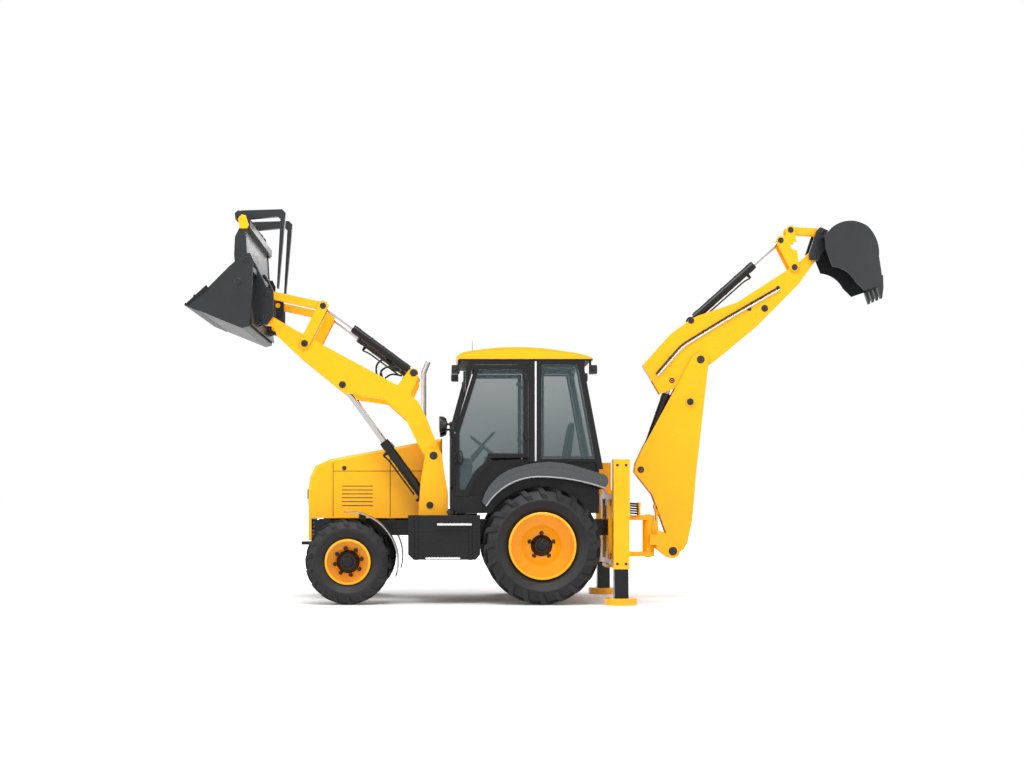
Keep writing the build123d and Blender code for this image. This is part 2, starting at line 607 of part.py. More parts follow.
with BuildPart() as cab_glass:
    # windscreen
    plate(
        (
            (CAB_FRONT + 20, 1960 + SEAT_GAP), (CAB_FRONT + 26, 1960 + SEAT_GAP),
            (-786, ROOF_EAVE - 55 - SEAT_GAP), (-792, ROOF_EAVE - 55 - SEAT_GAP),
        ),
        0, 2 * (CAB_INNER - SEAT_GAP),
    )
    # rear window
    plate(
        ((655, 1580 + SEAT_GAP), (661, 1580 + SEAT_GAP), (463, 2709.7), (457, 2709.7)),
        0, 2 * (CAB_INNER - SEAT_GAP),
    )
    for _, s in SIDES:
        plate(
            ((10.3, 1640.3), (617, 1640.3), (420, 2709.7), (10.3, 2709.7)),
            s * (CAB_HALF - 20), GLASS,
        )
export(cab_glass, "cab_glass")

DOOR_OUTLINE = (
    (CAB_FRONT + 60, 1212), (-830, 1212), (-705, 1462), (-575, 1560), (-560, 1650),
    (HINGE_X, 1650), (HINGE_X, ROOF_EAVE - 60), (-738, ROOF_EAVE - 60), (CAB_FRONT + 60, 1966),
)
DOOR_WINDOW = (
    (CAB_FRONT + 110, 1290), (-860, 1290), (-745, 1500), (-620, 1610), (-600, 1700),
    (HINGE_X - 50, 1700), (HINGE_X - 50, ROOF_EAVE - 110), (-700, ROOF_EAVE - 110), (CAB_FRONT + 110, 1955),
)
for name, s in SIDES:
    door_y = s * (CAB_HALF - DOOR_THICK / 2)
    with BuildPart() as door:
        plate(DOOR_OUTLINE, door_y, DOOR_THICK)
        plate(DOOR_WINDOW, door_y, 2 * DOOR_THICK, mode=Mode.SUBTRACT)
        for z in DOOR_HINGES:
            block(DOOR_AXIS_X - 45, DOOR_AXIS_X, s * (CAB_HALF - 2), s * (DOOR_AXIS_Y + 11), z - 20, z + 20)
            upright(DOOR_AXIS_X, s * DOOR_AXIS_Y, HINGE_R, z - 20, z + 20)
            upright(DOOR_AXIS_X, s * DOOR_AXIS_Y, HINGE_PIN_R, z - 62, z - 20)
    export(door, f"door_{name}")
    with BuildPart() as door_glass:
        plate(DOOR_WINDOW, door_y, GLASS)
    export(door_glass, f"door_glass_{name}")

# Fender outline: over the wheel from the front, round the rear end, and back along the underside.
FENDER_RUNS = (
    ((-673, 1149), (-530, 1400), (-269, 1539)), ((-269, 1539), (80, 1592), (405, 1539)),
    ((405, 1539), (674, 1459)), ((674, 1459), (722, 1420), (727, 1364)), ((727, 1364), (687, 1297)),
    ((687, 1297), (640, 1290)), ((640, 1290), (665, 1364)), ((665, 1364), (410, 1470)),
    ((410, 1470), (80, 1535), (-240, 1485)), ((-240, 1485), (-470, 1370), (-600, 1149)),
    ((-600, 1149), (-673, 1149)),
)
with BuildPart() as rear_fenders:
    for _, s in SIDES:
        curved_plate(FENDER_RUNS, s * (FENDER_INNER + FENDER_OUTER) / 2, FENDER_OUTER - FENDER_INNER)
export(rear_fenders, "rear_fenders")

with BuildPart() as seat:
    block(-90, 330, -230, 230, 1420, 1520)
    plate(((280, 1520), (370, 1520), (450, 2080), (370, 2090)), 0, 430)
export(seat, "seat")

with BuildPart() as seat_base:
    block(-30, 280, -170, 170, CAB_FLOOR + FLOOR_THICK, 1420)
    for _, s in SIDES:
        block(-90, 270, s * 300, s * 420, CAB_FLOOR + FLOOR_THICK, 1560)
export(seat_base, "seat_base")

with BuildPart() as console:
    plate(((-998, 1060), (-860, 1060), (-760, 1560), (-800, 1640), (-998, 1700)), 0, 420)
    bar((-800, 1600), (-640, 1800), 28)
    bar((-648, 1792), (-632, 1812), 190)
export(console, "console")

# ============================ rear frame and stabilisers =====================
with BuildPart() as rear_frame:
    for _, s in SIDES:
        outer_y = s * COLUMN_OUTER
        inner_y = s * (COLUMN_OUTER - COLUMN_SIZE)
        block(COLUMN_X - COLUMN_SIZE / 2, COLUMN_X + COLUMN_SIZE / 2, inner_y, outer_y,
              COLUMN_BOTTOM, COLUMN_TOP)
        block(COLUMN_X - COLUMN_SIZE / 2 + COLUMN_WALL, COLUMN_X + COLUMN_SIZE / 2 - COLUMN_WALL,
              inner_y + s * COLUMN_WALL, outer_y - s * COLUMN_WALL,
              COLUMN_BOTTOM, COLUMN_TOP - COLUMN_WALL, mode=Mode.SUBTRACT)
        for z0, z1 in FRAME_RAILS:
            block(*FRAME_RAIL_X, 0, inner_y, z0, z1)
        block(RAIL_REAR, FRAME_RAIL_X[0], s * 240, s * 440, 480, 1180)
        block(FRAME_RAIL_X[0], FRAME_RAIL_X[1] - 20, s * 240, s * 440, 560, 1100)
export(rear_frame, "rear_frame")

for name, s in SIDES:
    leg_y = s * (COLUMN_OUTER - COLUMN_SIZE / 2)
    with BuildPart() as leg:
        block(COLUMN_X - LEG_SIZE / 2, COLUMN_X + LEG_SIZE / 2,
              leg_y - LEG_SIZE / 2, leg_y + LEG_SIZE / 2, PAD_THICK, LEG_TOP)
        upright(COLUMN_X, leg_y, PAD_R, 0, PAD_THICK)
    export(leg, f"stabiliser_leg_{name}")

with BuildPart() as carriage:
    back = FRAME_RAIL_X[1] + SLIDE_GAP
    block(back, back + 45, -CARRIAGE_HALF, CARRIAGE_HALF, 380, 1285)
    block(FRAME_RAIL_X[0] - 20, back, -CARRIAGE_HALF, CARRIAGE_HALF, FRAME_RAILS[1][1] + SLIDE_GAP, 1285)
    block(FRAME_RAIL_X[0] - 20, back, -CARRIAGE_HALF, CARRIAGE_HALF, 380, FRAME_RAILS[0][0] - SLIDE_GAP)
    for z0 in (LOWER_LUG, UPPER_LUG):
        block(back + 45, SLEW_X, -POST_R, POST_R, z0, z0 + LUG_THICK)
        upright(SLEW_X, 0, POST_R, z0, z0 + LUG_THICK)
        upright(SLEW_X, 0, POST_PIN_R + PIN_GAP, z0, z0 + LUG_THICK, mode=Mode.SUBTRACT)
export(carriage, "carriage")

KING_BOTTOM = LOWER_LUG + LUG_THICK + SIDE_GAP
KING_TOP = UPPER_LUG - SIDE_GAP
FOOT_EAR_IN = BOOM_HALF + SIDE_GAP + 3
FOOT_EAR = 30
with BuildPart() as kingpost:
    upright(SLEW_X, 0, POST_R, KING_BOTTOM, KING_TOP)
    upright(SLEW_X, 0, POST_PIN_R, LOWER_LUG - 10, UPPER_LUG + LUG_THICK + 10)
    block(SLEW_X, SLEW_X + 125, -(FOOT_EAR_IN + FOOT_EAR), FOOT_EAR_IN + FOOT_EAR, 640, 760)
    for _, s in SIDES:
        ear_y = s * (FOOT_EAR_IN + FOOT_EAR / 2)
        plate(((SLEW_X + 80, 600), (SLEW_X + 80, 800), (SLEW_X + 160, 800), (BOOM_FOOT[0] + 60, 640),
               (BOOM_FOOT[0] + 60, 520), (BOOM_FOOT[0] - 40, 480)), ear_y, FOOT_EAR)
        pin(BOOM_FOOT, 85, s * FOOT_EAR_IN, s * (FOOT_EAR_IN + FOOT_EAR))
        plate(((SLEW_X + 40, 700), (SLEW_X + 40, KING_TOP - 5), (SLEW_X + 82, KING_TOP - 5),
               (SLEW_X + 82, 1010), (BOOM_RAM_BASE[0] - 50, BOOM_RAM_BASE[1] + 20),
               (BOOM_RAM_BASE[0] + 10, BOOM_RAM_BASE[1] + 40), (BOOM_RAM_BASE[0] + 35, BOOM_RAM_BASE[1] - 20),
               (BOOM_RAM_BASE[0] - 12, BOOM_RAM_BASE[1] - 110), (SLEW_X + 110, 860), (SLEW_X + 125, 700)),
              s * 55, 26)
        pin(BOOM_RAM_BASE, 55, s * 42, s * 68)
    pin(BOOM_RAM_BASE, HOE_PIN_R, -68, 68)
    pin(BOOM_FOOT, HOE_PIN_R, -(FOOT_EAR_IN + FOOT_EAR + 8), FOOT_EAR_IN + FOOT_EAR + 8)
export(kingpost, "kingpost")

# ============================ backhoe ========================================
# Boom outline: x along the line from foot to head, y towards the machine.
BOOM_LENGTH = math.dist(BOOM_FOOT, BOOM_HEAD)
BOOM_OUTLINE = (
    (-47, 59), (-75, 0), (-47, -59), (105, -160), (398, -178), (949, -141), (2057, -105),
    (BOOM_LENGTH + 20, -95), (BOOM_LENGTH + 95, 0), (BOOM_LENGTH + 40, 90), (2215, 129), (1195, 504),
    (960, 575), (856, 575), (797, 516), (621, 328), (199, 105),
)
BOOM_PLATE_Y = BOOM_HALF - BOOM_PLATE / 2
BOOM_INSIDE = 2 * (BOOM_HALF - BOOM_PLATE)
BOOM_PLANE = between(BOOM_FOOT, BOOM_HEAD)
with BuildPart() as boom:
    for _, s in SIDES:
        plate(BOOM_OUTLINE, 0, BOOM_PLATE, plane=between(BOOM_FOOT, BOOM_HEAD, s * BOOM_PLATE_Y))
    plate(((20, -125), (105, -160), (398, -178), (949, -141), (1500, -122), (1500, -102), (949, -121),
           (398, -158), (105, -140), (20, -105)), 0, BOOM_INSIDE, plane=BOOM_PLANE)
    plate(((1510, 324), (1690, 288), (1690, 279), (1510, 315)), 0, BOOM_INSIDE, plane=BOOM_PLANE)
    pin(BOOM_FOOT, 80, -BOOM_HALF, BOOM_HALF)
    pin(BOOM_FOOT, HOE_PIN_R + PIN_GAP, -BOOM_HALF, BOOM_HALF, mode=Mode.SUBTRACT)
    pin(DIPPER_RAM_BASE, HOE_PIN_R, -BOOM_HALF - 8, BOOM_HALF + 8)
    pin(BOOM_HEAD, HOE_PIN_R, -BOOM_HALF - 8, BOOM_HALF + 8)
    for _, s in SIDES:
        pin(BOOM_RAM_EYE, 55, s * BOOM_HALF, s * (BOOM_HALF + 12))
export(boom, "boom")

# Dipper outline: x along the line from the boom's head to the bucket pivot, y on the ram's side.
DIPPER_LENGTH = math.dist(BOOM_HEAD, BUCKET_PIVOT)
DIPPER_OUTLINE = (
    (-624, 24), (-541, 412), (-450, 420), (-59, 459), (247, 424), (330, 400), (777, 200), (1495, 75),
    (1600, 58), (DIPPER_LENGTH + 16, 52), (DIPPER_LENGTH + 56, 0), (DIPPER_LENGTH + 20, -58),
    (1459, -135), (753, -165), (120, -130), (-120, -95), (-382, -71),
)
with BuildPart() as dipper:
    plate(DIPPER_OUTLINE, 0, 2 * DIPPER_HALF, plane=between(BOOM_HEAD, BUCKET_PIVOT))
    slot_half = RAM_EYE_WIDTH / 2 + SIDE_GAP
    # clevis for the dipper ram's rod and for the bucket ram's base
    plate(((-700, -200), (-495, -200), (-495, 200), (-700, 200)), 0, 2 * (52 + RUN_GAP),
          mode=Mode.SUBTRACT, plane=between(BOOM_HEAD, BUCKET_PIVOT))
    plate(((-700, -200), (-205, -200), (-205, 100), (-330, 195), (-700, 195)), 0, 2 * (30 + RUN_GAP),
          mode=Mode.SUBTRACT, plane=between(BOOM_HEAD, BUCKET_PIVOT))
    plate(((150, 335), (260, 335), (900, 100), (900, 500), (150, 500)), 0, 2 * (50 + RUN_GAP),
          mode=Mode.SUBTRACT, plane=between(BOOM_HEAD, BUCKET_PIVOT))
    pin(BUCKET_RAM_BASE, HOE_PIN_R, -DIPPER_HALF - 6, DIPPER_HALF + 6)
    pin(BOOM_HEAD, HOE_PIN_R + PIN_GAP, -DIPPER_HALF, DIPPER_HALF, mode=Mode.SUBTRACT)
    pin(BUCKET_PIVOT, HOE_PIN_R + PIN_GAP, -DIPPER_HALF, DIPPER_HALF, mode=Mode.SUBTRACT)
    pin(TIP_LEVER_PIVOT, HOE_PIN_R + PIN_GAP, -DIPPER_HALF, DIPPER_HALF, mode=Mode.SUBTRACT)
export(dipper, "dipper")

HOE_RAMS = (("boom", HOE_PIN_R), ("dipper", HOE_PIN_R), ("bucket", HOE_PIN_R))
for name, pin_r in HOE_RAMS:
    with BuildPart() as hoe_barrel:
        ram_barrel(RAMS[name], 0, pin_r)
    export(hoe_barrel, f"{name}_ram_barrel")
    with BuildPart() as hoe_rod:
        ram_rod(RAMS[name], 0)
    export(hoe_rod, f"{name}_ram_rod")

TIP_LEVER_IN = DIPPER_HALF + SIDE_GAP + 4
TIP_LEVER_PLATE = 20
with BuildPart() as tipping_lever:
    for _, s in SIDES:
        lever_y = s * (TIP_LEVER_IN + TIP_LEVER_PLATE / 2)
        for top in (TIP_RAM_EYE, TIP_LINK_TOP):
            strap(TIP_LEVER_PIVOT, top, 52, lever_y, TIP_LEVER_PLATE)
        plate((TIP_LEVER_PIVOT, TIP_RAM_EYE, TIP_LINK_TOP), lever_y, TIP_LEVER_PLATE)
    # hollow in the front edge that passes over the bucket's pivot pin
    reach = math.dist(TIP_LEVER_PIVOT, BUCKET_PIVOT)
    notch = (TIP_LEVER_PIVOT[0], TIP_LEVER_PIVOT[1] + reach)
    notch_r = HOE_PIN_R + 11
    pin(notch, notch_r, -TIP_LEVER_IN - 40, TIP_LEVER_IN + 40, mode=Mode.SUBTRACT)
    block(notch[0], notch[0] + 80, -TIP_LEVER_IN - 40, TIP_LEVER_IN + 40,
          notch[1] - notch_r - 5, notch[1] + notch_r, mode=Mode.SUBTRACT)
    pin(TIP_LEVER_PIVOT, HOE_PIN_R, -(TIP_LEVER_IN + TIP_LEVER_PLATE + 4), TIP_LEVER_IN + TIP_LEVER_PLATE + 4)
export(tipping_lever, "tipping_lever")

TIP_LINK_Y = 58
BUCKET_EAR = 24
BUCKET_EAR_Y = TIP_LEVER_IN + TIP_LEVER_PLATE + 8 + BUCKET_EAR / 2
with BuildPart() as tipping_link:
    for _, s in SIDES:
        strap(BUCKET_LINK_PIN, TIP_LINK_TOP, 40, s * TIP_LINK_Y, 22)
    pin(BUCKET_LINK_PIN, HOE_PIN_R - 6, -BUCKET_EAR_Y - 14, BUCKET_EAR_Y + 14)
export(tipping_link, "tipping_link")

# Bucket: the back's outer curve from the link's side round to the lip, and the same curve inside.
BUCKET_BACK = (
    ((3330, 4245), (3413, 4338)), ((3413, 4338), (3638, 4420), (3841, 4349)),
    ((3841, 4349), (3939, 4195), (3965, 4005)), ((3965, 4005), (3994, 3815)), ((3994, 3815), (4000, 3700)),
)
BUCKET_INSIDE = (
    ((3965, 3697), (3966, 3813)), ((3966, 3813), (3943, 4002)), ((3943, 4002), (3915, 4183), (3824, 4331)),
    ((3824, 4331), (3638, 4398), (3425, 4318)), ((3425, 4318), (3345, 4228)),
)
BUCKET_MOUTH = (
    ((4000, 3700), (3980, 3668)), ((3980, 3668), (3795, 3605)), ((3795, 3605), (3690, 3710)),
    ((3690, 3710), (3560, 3845), (3424, 3886)), ((3424, 3886), (3345, 4080)), ((3345, 4080), (3330, 4245)),
)
with BuildPart() as hoe_bucket:
    curved_plate(
        BUCKET_BACK + (((4000, 3700), (3965, 3697)),) + BUCKET_INSIDE + (((3345, 4228), (3330, 4245)),),
        0, 2 * BUCKET_HALF,
    )
    for _, s in SIDES:
        curved_plate(BUCKET_BACK + BUCKET_MOUTH, s * (BUCKET_HALF - BUCKET_SIDE / 2), BUCKET_SIDE)
        plate(
            (
                (BUCKET_PIVOT[0] - 45, BUCKET_PIVOT[1] - 50), (BUCKET_PIVOT[0] + 60, BUCKET_PIVOT[1] - 60),
                (3425, 4200), (3430, 4330), (BUCKET_LINK_PIN[0] - 10, BUCKET_LINK_PIN[1] + 50),
                (BUCKET_LINK_PIN[0] - 55, BUCKET_LINK_PIN[1]), (BUCKET_PIVOT[0] - 50, BUCKET_PIVOT[1] + 20),
            ),
            s * BUCKET_EAR_Y, BUCKET_EAR,
        )
        pin(BUCKET_LINK_PIN, HOE_PIN_R - 6 + PIN_GAP, s * (BUCKET_EAR_Y - BUCKET_EAR),
            s * (BUCKET_EAR_Y + BUCKET_EAR), mode=Mode.SUBTRACT)
    pin(BUCKET_PIVOT, HOE_PIN_R, -BUCKET_EAR_Y - 16, BUCKET_EAR_Y + 16)
    for tooth in range(4):
        tooth_y = (tooth - 1.5) * (2 * BUCKET_HALF - 80) / 3
        plate(((4014, 3790), (3938, 3790), (3946, 3640), (3988, 3515), (4003, 3515), (4018, 3640)),
              tooth_y, 64)
export(hoe_bucket, "hoe_bucket")

# ============================ loader =========================================
# Arm outline: x along the line from pivot to tip, y up from it.
ARM_LENGTH = math.dist(ARM_PIVOT, ARM_TIP)
ARM_OUTLINE = (
    (0, -95), (-95, 0), (-70, 70), (178, 196), (336, 288), (525, 370), (646, 377), (690, 560),
    (773, 655), (835, 592), (824, 369), (1766, 194), (2152, 126), (2452, 80), (ARM_LENGTH + 70, 0),
    (ARM_LENGTH, -60), (2440, -45), (2390, -12), (2330, -12), (2250, -58), (1988, -78), (1400, -80), (1240, -80), (998, 60), (844, 150), (520, 130),
    (200, -20), (95, -60),
)


def arm_plane(y):
    """Plane of a loader arm: local x from pivot to tip, local y up."""
    run = (ARM_TIP[0] - ARM_PIVOT[0], 0, ARM_TIP[1] - ARM_PIVOT[1])
    return Plane(origin=(ARM_PIVOT[0], y, ARM_PIVOT[1]), x_dir=run, z_dir=(0, 1, 0))


with BuildPart() as loader_arms:
    for _, s in SIDES:
        plate(ARM_OUTLINE, 0, ARM_THICK, plane=arm_plane(s * ARM_Y))
        # slots for the tilt ram's base eye and the lift ram's rod eye
        plate(((560, 400), (830, 385), (2300, 300), (2300, 900), (560, 900)), 0, 2 * 31,
              mode=Mode.SUBTRACT, plane=arm_plane(s * ARM_Y))
        plate(((1080, -200), (1430, -200), (1430, 85), (1240, 95), (1080, 50)), 0, 2 * (LIFT_ROD_R + SIDE_GAP),
              mode=Mode.SUBTRACT, plane=arm_plane(s * ARM_Y))
        pin(ARM_PIVOT, LOADER_PIN_R + 5 + PIN_GAP, s * 500, s * 660, mode=Mode.SUBTRACT)
        pin(LEVER_PIVOT, LOADER_PIN_R + PIN_GAP, s * 500, s * 660, mode=Mode.SUBTRACT)
        pin(TILT_BASE, LOADER_PIN_R, s * (ARM_Y - 58), s * (ARM_Y + 58))
        pin(ARM_TIP, LOADER_PIN_R, s * 486, s * 674)
    pin(step(ARM_PIVOT, ARM_TIP, ARM_TUBE), ARM_TUBE_R, -(ARM_Y - ARM_THICK / 2), ARM_Y - ARM_THICK / 2)
export(loader_arms, "loader_arms")

with BuildPart() as tilt_levers:
    for _, s in SIDES:
        for across in (-1, 1):
            lever_y = s * (ARM_Y + across * (ARM_THICK / 2 + SIDE_GAP + 2 + LEVER_PLATE / 2))
            strap(LEVER_PIVOT, LEVER_TOP, 58, lever_y, LEVER_PLATE)
        pin(LEVER_PIVOT, LOADER_PIN_R, s * 500, s * 660)
export(tilt_levers, "tilt_levers")

with BuildPart() as tilt_links:
    for _, s in SIDES:
        for across in (-1, 1):
            link_y = s * (ARM_Y + across * (RAM_EYE_WIDTH / 2 + 3 + LINK_PLATE / 2))
            strap(LINK_PIN, LEVER_TOP, 44, link_y, LINK_PLATE)
        pin(LINK_PIN, LOADER_PIN_R, s * 486, s * 674)
export(tilt_links, "tilt_links")

for name in ("lift", "tilt"):
    with BuildPart() as loader_barrels:
        for _, s in SIDES:
            ram_barrel(RAMS[name], s * ARM_Y, LOADER_PIN_R)
    export(loader_barrels, f"{name}_ram_barrels")
    with BuildPart() as loader_rods:
        for _, s in SIDES:
            ram_rod(RAMS[name], s * ARM_Y)
    export(loader_rods, f"{name}_ram_rods")

# Shovel: a full-width blade with ears behind it; the clam hangs from pins at its upper sides.
BLADE = (
    (-3252, 3132), (-3226, 3126), (-3262, 3400), (-3284, 3700), (-3300, 4000), (-3320, 4290),
    (-3345, 4290), (-3345, 4270), (-3325, 4000), (-3309, 3700), (-3287, 3400),
)
BACK_EARS = (
    (-3180, 3180), (ARM_TIP[0] + 40, ARM_TIP[1] - 80), (ARM_TIP[0] + 120, ARM_TIP[1] + 30),
    (ARM_TIP[0] + 120, 3425), (LINK_PIN[0] + 70, LINK_PIN[1] + 40), (LINK_PIN[0] - 10, LINK_PIN[1] + 80),
    (-3270, 3900), (-3300, 3900), (-3275, 3400), (-3240, 3160),
)
with BuildPart() as shovel_back:
    plate(BLADE, 0, 2 * (SHOVEL_HALF - 55))
    for _, s in SIDES:
        for across in (-1, 1):
            ear_y = s * (ARM_Y + across * (ARM_THICK / 2 + 10 + EAR_PLATE / 2))
            plate(BACK_EARS, ear_y, EAR_PLATE)
            for place in (ARM_TIP, LINK_PIN):
                pin(place, LOADER_PIN_R + PIN_GAP, ear_y - EAR_PLATE, ear_y + EAR_PLATE, mode=Mode.SUBTRACT)
        plate(
            ((-3240, 3140), (-3305, 4250), (-3345, 4250), (-3420, 4100), (-3430, 3900), (-3410, 3700),
             (-3330, 3400)),
            s * (SHOVEL_HALF - 42), SHOVEL_PLATE,
        )
        pin(CLAM_PIVOT, LOADER_PIN_R, s * (SHOVEL_HALF - 54), s * (SHOVEL_HALF + 3))
        for bracket_y in (262, 558):
            plate(((-3330, 4190), (-3385, 4290), (-3490, 4405), (-3500, 4460), (-3460, 4495), (-3410, 4480),
                   (-3265, 4330), (-3265, 4230)), s * bracket_y, 25)
    block(-3335, -3255, -(SHOVEL_HALF - 55), SHOVEL_HALF - 55, 4205, 4285)
    plate(((-3262, 3400), (-3195, 3440), (-3192, 3530), (-3276, 3590)), 0, 2 * (ARM_Y - ARM_THICK / 2 - 20))
    plate(((-3284, 3700), (-3225, 3720), (-3228, 3780), (-3290, 3800)), 0, 2 * (SHOVEL_HALF - 55))
    pin(FORK_PIVOT, FORK_BAR_R, -575, 575)
export(shovel_back, "shovel_back")

with BuildPart() as shovel_clam:
    plate(
        ((-3979, 3340), (-3970, 3362), (-3330, 3132), (-3262, 3122), (-3262, 3100), (-3340, 3080)),
        0, 2 * SHOVEL_HALF,
    )
    for _, s in SIDES:
        plate(
            (
                (-3975, 3345), (-3743, 3504), (-3483, 3765), (-3409, 3830), (-3370, 3915),
                (-3250, 3915), (-3215, 3840), (-3225, 3500), (-3262, 3105), (-3340, 3080),
            ),
            s * (SHOVEL_HALF - SHOVEL_PLATE / 2), SHOVEL_PLATE,
        )
        pin(CLAM_PIVOT, LOADER_PIN_R + PIN_GAP, s * (SHOVEL_HALF - 30), s * (SHOVEL_HALF + 5), mode=Mode.SUBTRACT)
export(shovel_clam, "shovel_clam")

# Fork outline from its pivot: a shank that runs rearward over the shovel, and a tapered tine.
FORK_OUTLINE = (
    (-35, 50), (10, 76), (480, 90), (522, 50), (442, -820), (420, -820), (462, -20), (430, 8), (60, -25),
    (0, -60),
)
with BuildPart() as flip_forks:
    for _, s in SIDES:
        plate([(FORK_PIVOT[0] + x, FORK_PIVOT[1] + z) for x, z in FORK_OUTLINE], s * FORK_Y, FORK_WIDTH)
        pin(FORK_PIVOT, 62, s * (FORK_Y - FORK_WIDTH / 2), s * (FORK_Y + FORK_WIDTH / 2))
        pin(FORK_PIVOT, FORK_BAR_R + PIN_GAP, s * (FORK_Y - FORK_WIDTH), s * (FORK_Y + FORK_WIDTH),
            mode=Mode.SUBTRACT)
export(flip_forks, "flip_forks")

# ============================ lamps and mirrors ==============================
with BuildPart() as lamps:
    for _, s in SIDES:
        # work lamps under the roof's corners, front and rear, on short arms
        for x, stem in ((-965, -920), (605, 575)):
            block(x - 40, x + 40, s * 560, s * 680, 2610, 2710)
            block(stem - 12, stem + 12, s * 605, s * 635, 2710, ROOF_EAVE)
        # headlamps beside the nose
        block(NOSE_X - 12, NOSE_X, s * 240, s * 390, 1180, 1290)
export(lamps, "lamps")

with BuildPart() as mirrors:
    for _, s in SIDES:
        block(-880, -855, s * 800, s * 950, 2380, 2620)
        block(-875, -860, s * CAB_HALF, s * 800, 2560, 2575)
export(mirrors, "mirrors")
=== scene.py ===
"""Backhoe loader: materials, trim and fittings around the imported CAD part.

Metres, in the part's frame: +X to the rear, -Y to the machine's left, +Z up, with the origin
on the ground under the rear axle.
"""

import json
import math

import bmesh
import bpy
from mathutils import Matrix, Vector


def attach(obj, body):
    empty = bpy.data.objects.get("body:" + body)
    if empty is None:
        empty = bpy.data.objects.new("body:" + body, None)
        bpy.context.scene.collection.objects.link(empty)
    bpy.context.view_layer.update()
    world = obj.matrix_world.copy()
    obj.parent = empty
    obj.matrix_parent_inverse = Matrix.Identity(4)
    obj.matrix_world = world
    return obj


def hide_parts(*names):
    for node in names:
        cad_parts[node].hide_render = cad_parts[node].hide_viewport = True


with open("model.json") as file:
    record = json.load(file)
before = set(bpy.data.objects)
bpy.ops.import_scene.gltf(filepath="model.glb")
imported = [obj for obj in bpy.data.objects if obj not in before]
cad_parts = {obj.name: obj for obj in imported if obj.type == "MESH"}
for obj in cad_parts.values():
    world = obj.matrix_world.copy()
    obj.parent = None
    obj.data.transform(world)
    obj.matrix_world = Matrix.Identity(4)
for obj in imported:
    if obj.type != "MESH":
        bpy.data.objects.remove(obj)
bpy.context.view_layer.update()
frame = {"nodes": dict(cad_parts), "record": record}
NODES = frame["nodes"]

FULL_TURN = 2 * math.pi
SIDES = (("left", -1), ("right", 1))
ALONG_X, ALONG_Z = (1, 0, 0), (0, 0, 1)

# wheels and stabilisers
FRONT_AXLE_X = -2.172
FRONT_TYRE_R = 0.480
REAR_TYRE_R = 0.660
COLUMN_X = 0.883
COLUMN_Y = 1.020

# pivots in side view, (x, z)
ARM_PIVOT = (-1.217, 1.677)
ARM_TIP = (-3.162, 3.245)
LEVER_PIVOT = (-2.691, 2.958)
LEVER_TOP = (-2.479, 3.389)
LINK_PIN = (-3.116, 3.526)
TILT_BASE = (-1.446, 2.624)
LIFT_BASE = (-1.258, 1.112)
LIFT_EYE = (-2.259, 2.489)
CLAM_PIVOT = (-3.296, 3.844)
BOOM_FOOT = (1.591, 0.568)
BOOM_HEAD = (1.922, 2.822)
BOOM_RAM_BASE = (1.434, 1.086)
BOOM_RAM_EYE = (1.798, 2.323)
DIPPER_RAM_BASE = (1.218, 1.525)
DIPPER_RAM_EYE = (1.588, 2.576)
BUCKET_RAM_BASE = (1.814, 3.282)
BUCKET_PIVOT = (3.240, 4.042)
TIP_LEVER_PIVOT = (3.028, 3.908)
TIP_RAM_EYE = (2.865, 4.224)
TIP_LINK_TOP = (2.982, 4.347)
BUCKET_LINK_PIN = (3.332, 4.327)


# ---------------------------------------------------------------- materials
def tree(name):
    """A new material with its node tree, its shader and its object coordinates."""
    mat = bpy.data.materials.new(name)
    mat.use_nodes = True
    nodes, links = mat.node_tree.nodes, mat.node_tree.links
    coords = nodes.new("ShaderNodeTexCoord")
    return mat, nodes, links, nodes["Principled BSDF"], coords.outputs["Object"]


def dial(node, **values):
    """Sets a node's own inputs; an underscore in a name stands for a space."""
    for name, value in values.items():
        node.inputs[name.replace("_", " ")].default_value = value


def noise(nodes, links, coords, scale, detail=4.0, rough=0.5):
    """A noise texture's value."""
    texture = nodes.new("ShaderNodeTexNoise")
    dial(texture, Scale=scale, Detail=detail, Roughness=rough)
    links.new(coords, texture.inputs["Vector"])
    return texture.outputs["Fac"]


def ramp(nodes, links, value, stops):
    """A colour ramp of (place, colour) stops over a value."""
    node = nodes.new("ShaderNodeValToRGB")
    while len(node.color_ramp.elements) < len(stops):
        node.color_ramp.elements.new(0.5)
    for element, (place, colour) in zip(node.color_ramp.elements, stops):
        element.position = place
        element.color = (*colour, 1.0)
    links.new(value, node.inputs["Fac"])
    return node.outputs["Color"]


def spread(nodes, links, value, low, high, source=(0.3, 0.7)):
    """Maps a value from the source's span, by default a noise's middle, to low..high."""
    node = nodes.new("ShaderNodeMapRange")
    dial(node, From_Min=source[0], From_Max=source[1], To_Min=low, To_Max=high)
    links.new(value, node.inputs["Value"])
    return node.outputs["Result"]


def combine(nodes, links, operation, first, second):
    """One number from two."""
    node = nodes.new("ShaderNodeMath")
    node.operation = operation
    links.new(first, node.inputs[0])
    links.new(second, node.inputs[1])
    return node.outputs[0]


def bump(nodes, links, height, distance, strength=1.0, round_edge=0.0):
    """A bumped normal, on edges that are rounded where round_edge is given."""
    node = nodes.new("ShaderNodeBump")
    dial(node, Distance=distance, Strength=strength)
    links.new(height, node.inputs["Height"])
    if round_edge:
        bevel = nodes.new("ShaderNodeBevel")
        bevel.samples = 4
        dial(bevel, Radius=round_edge)
        links.new(bevel.outputs["Normal"], node.inputs["Normal"])
    return node.outputs["Normal"]


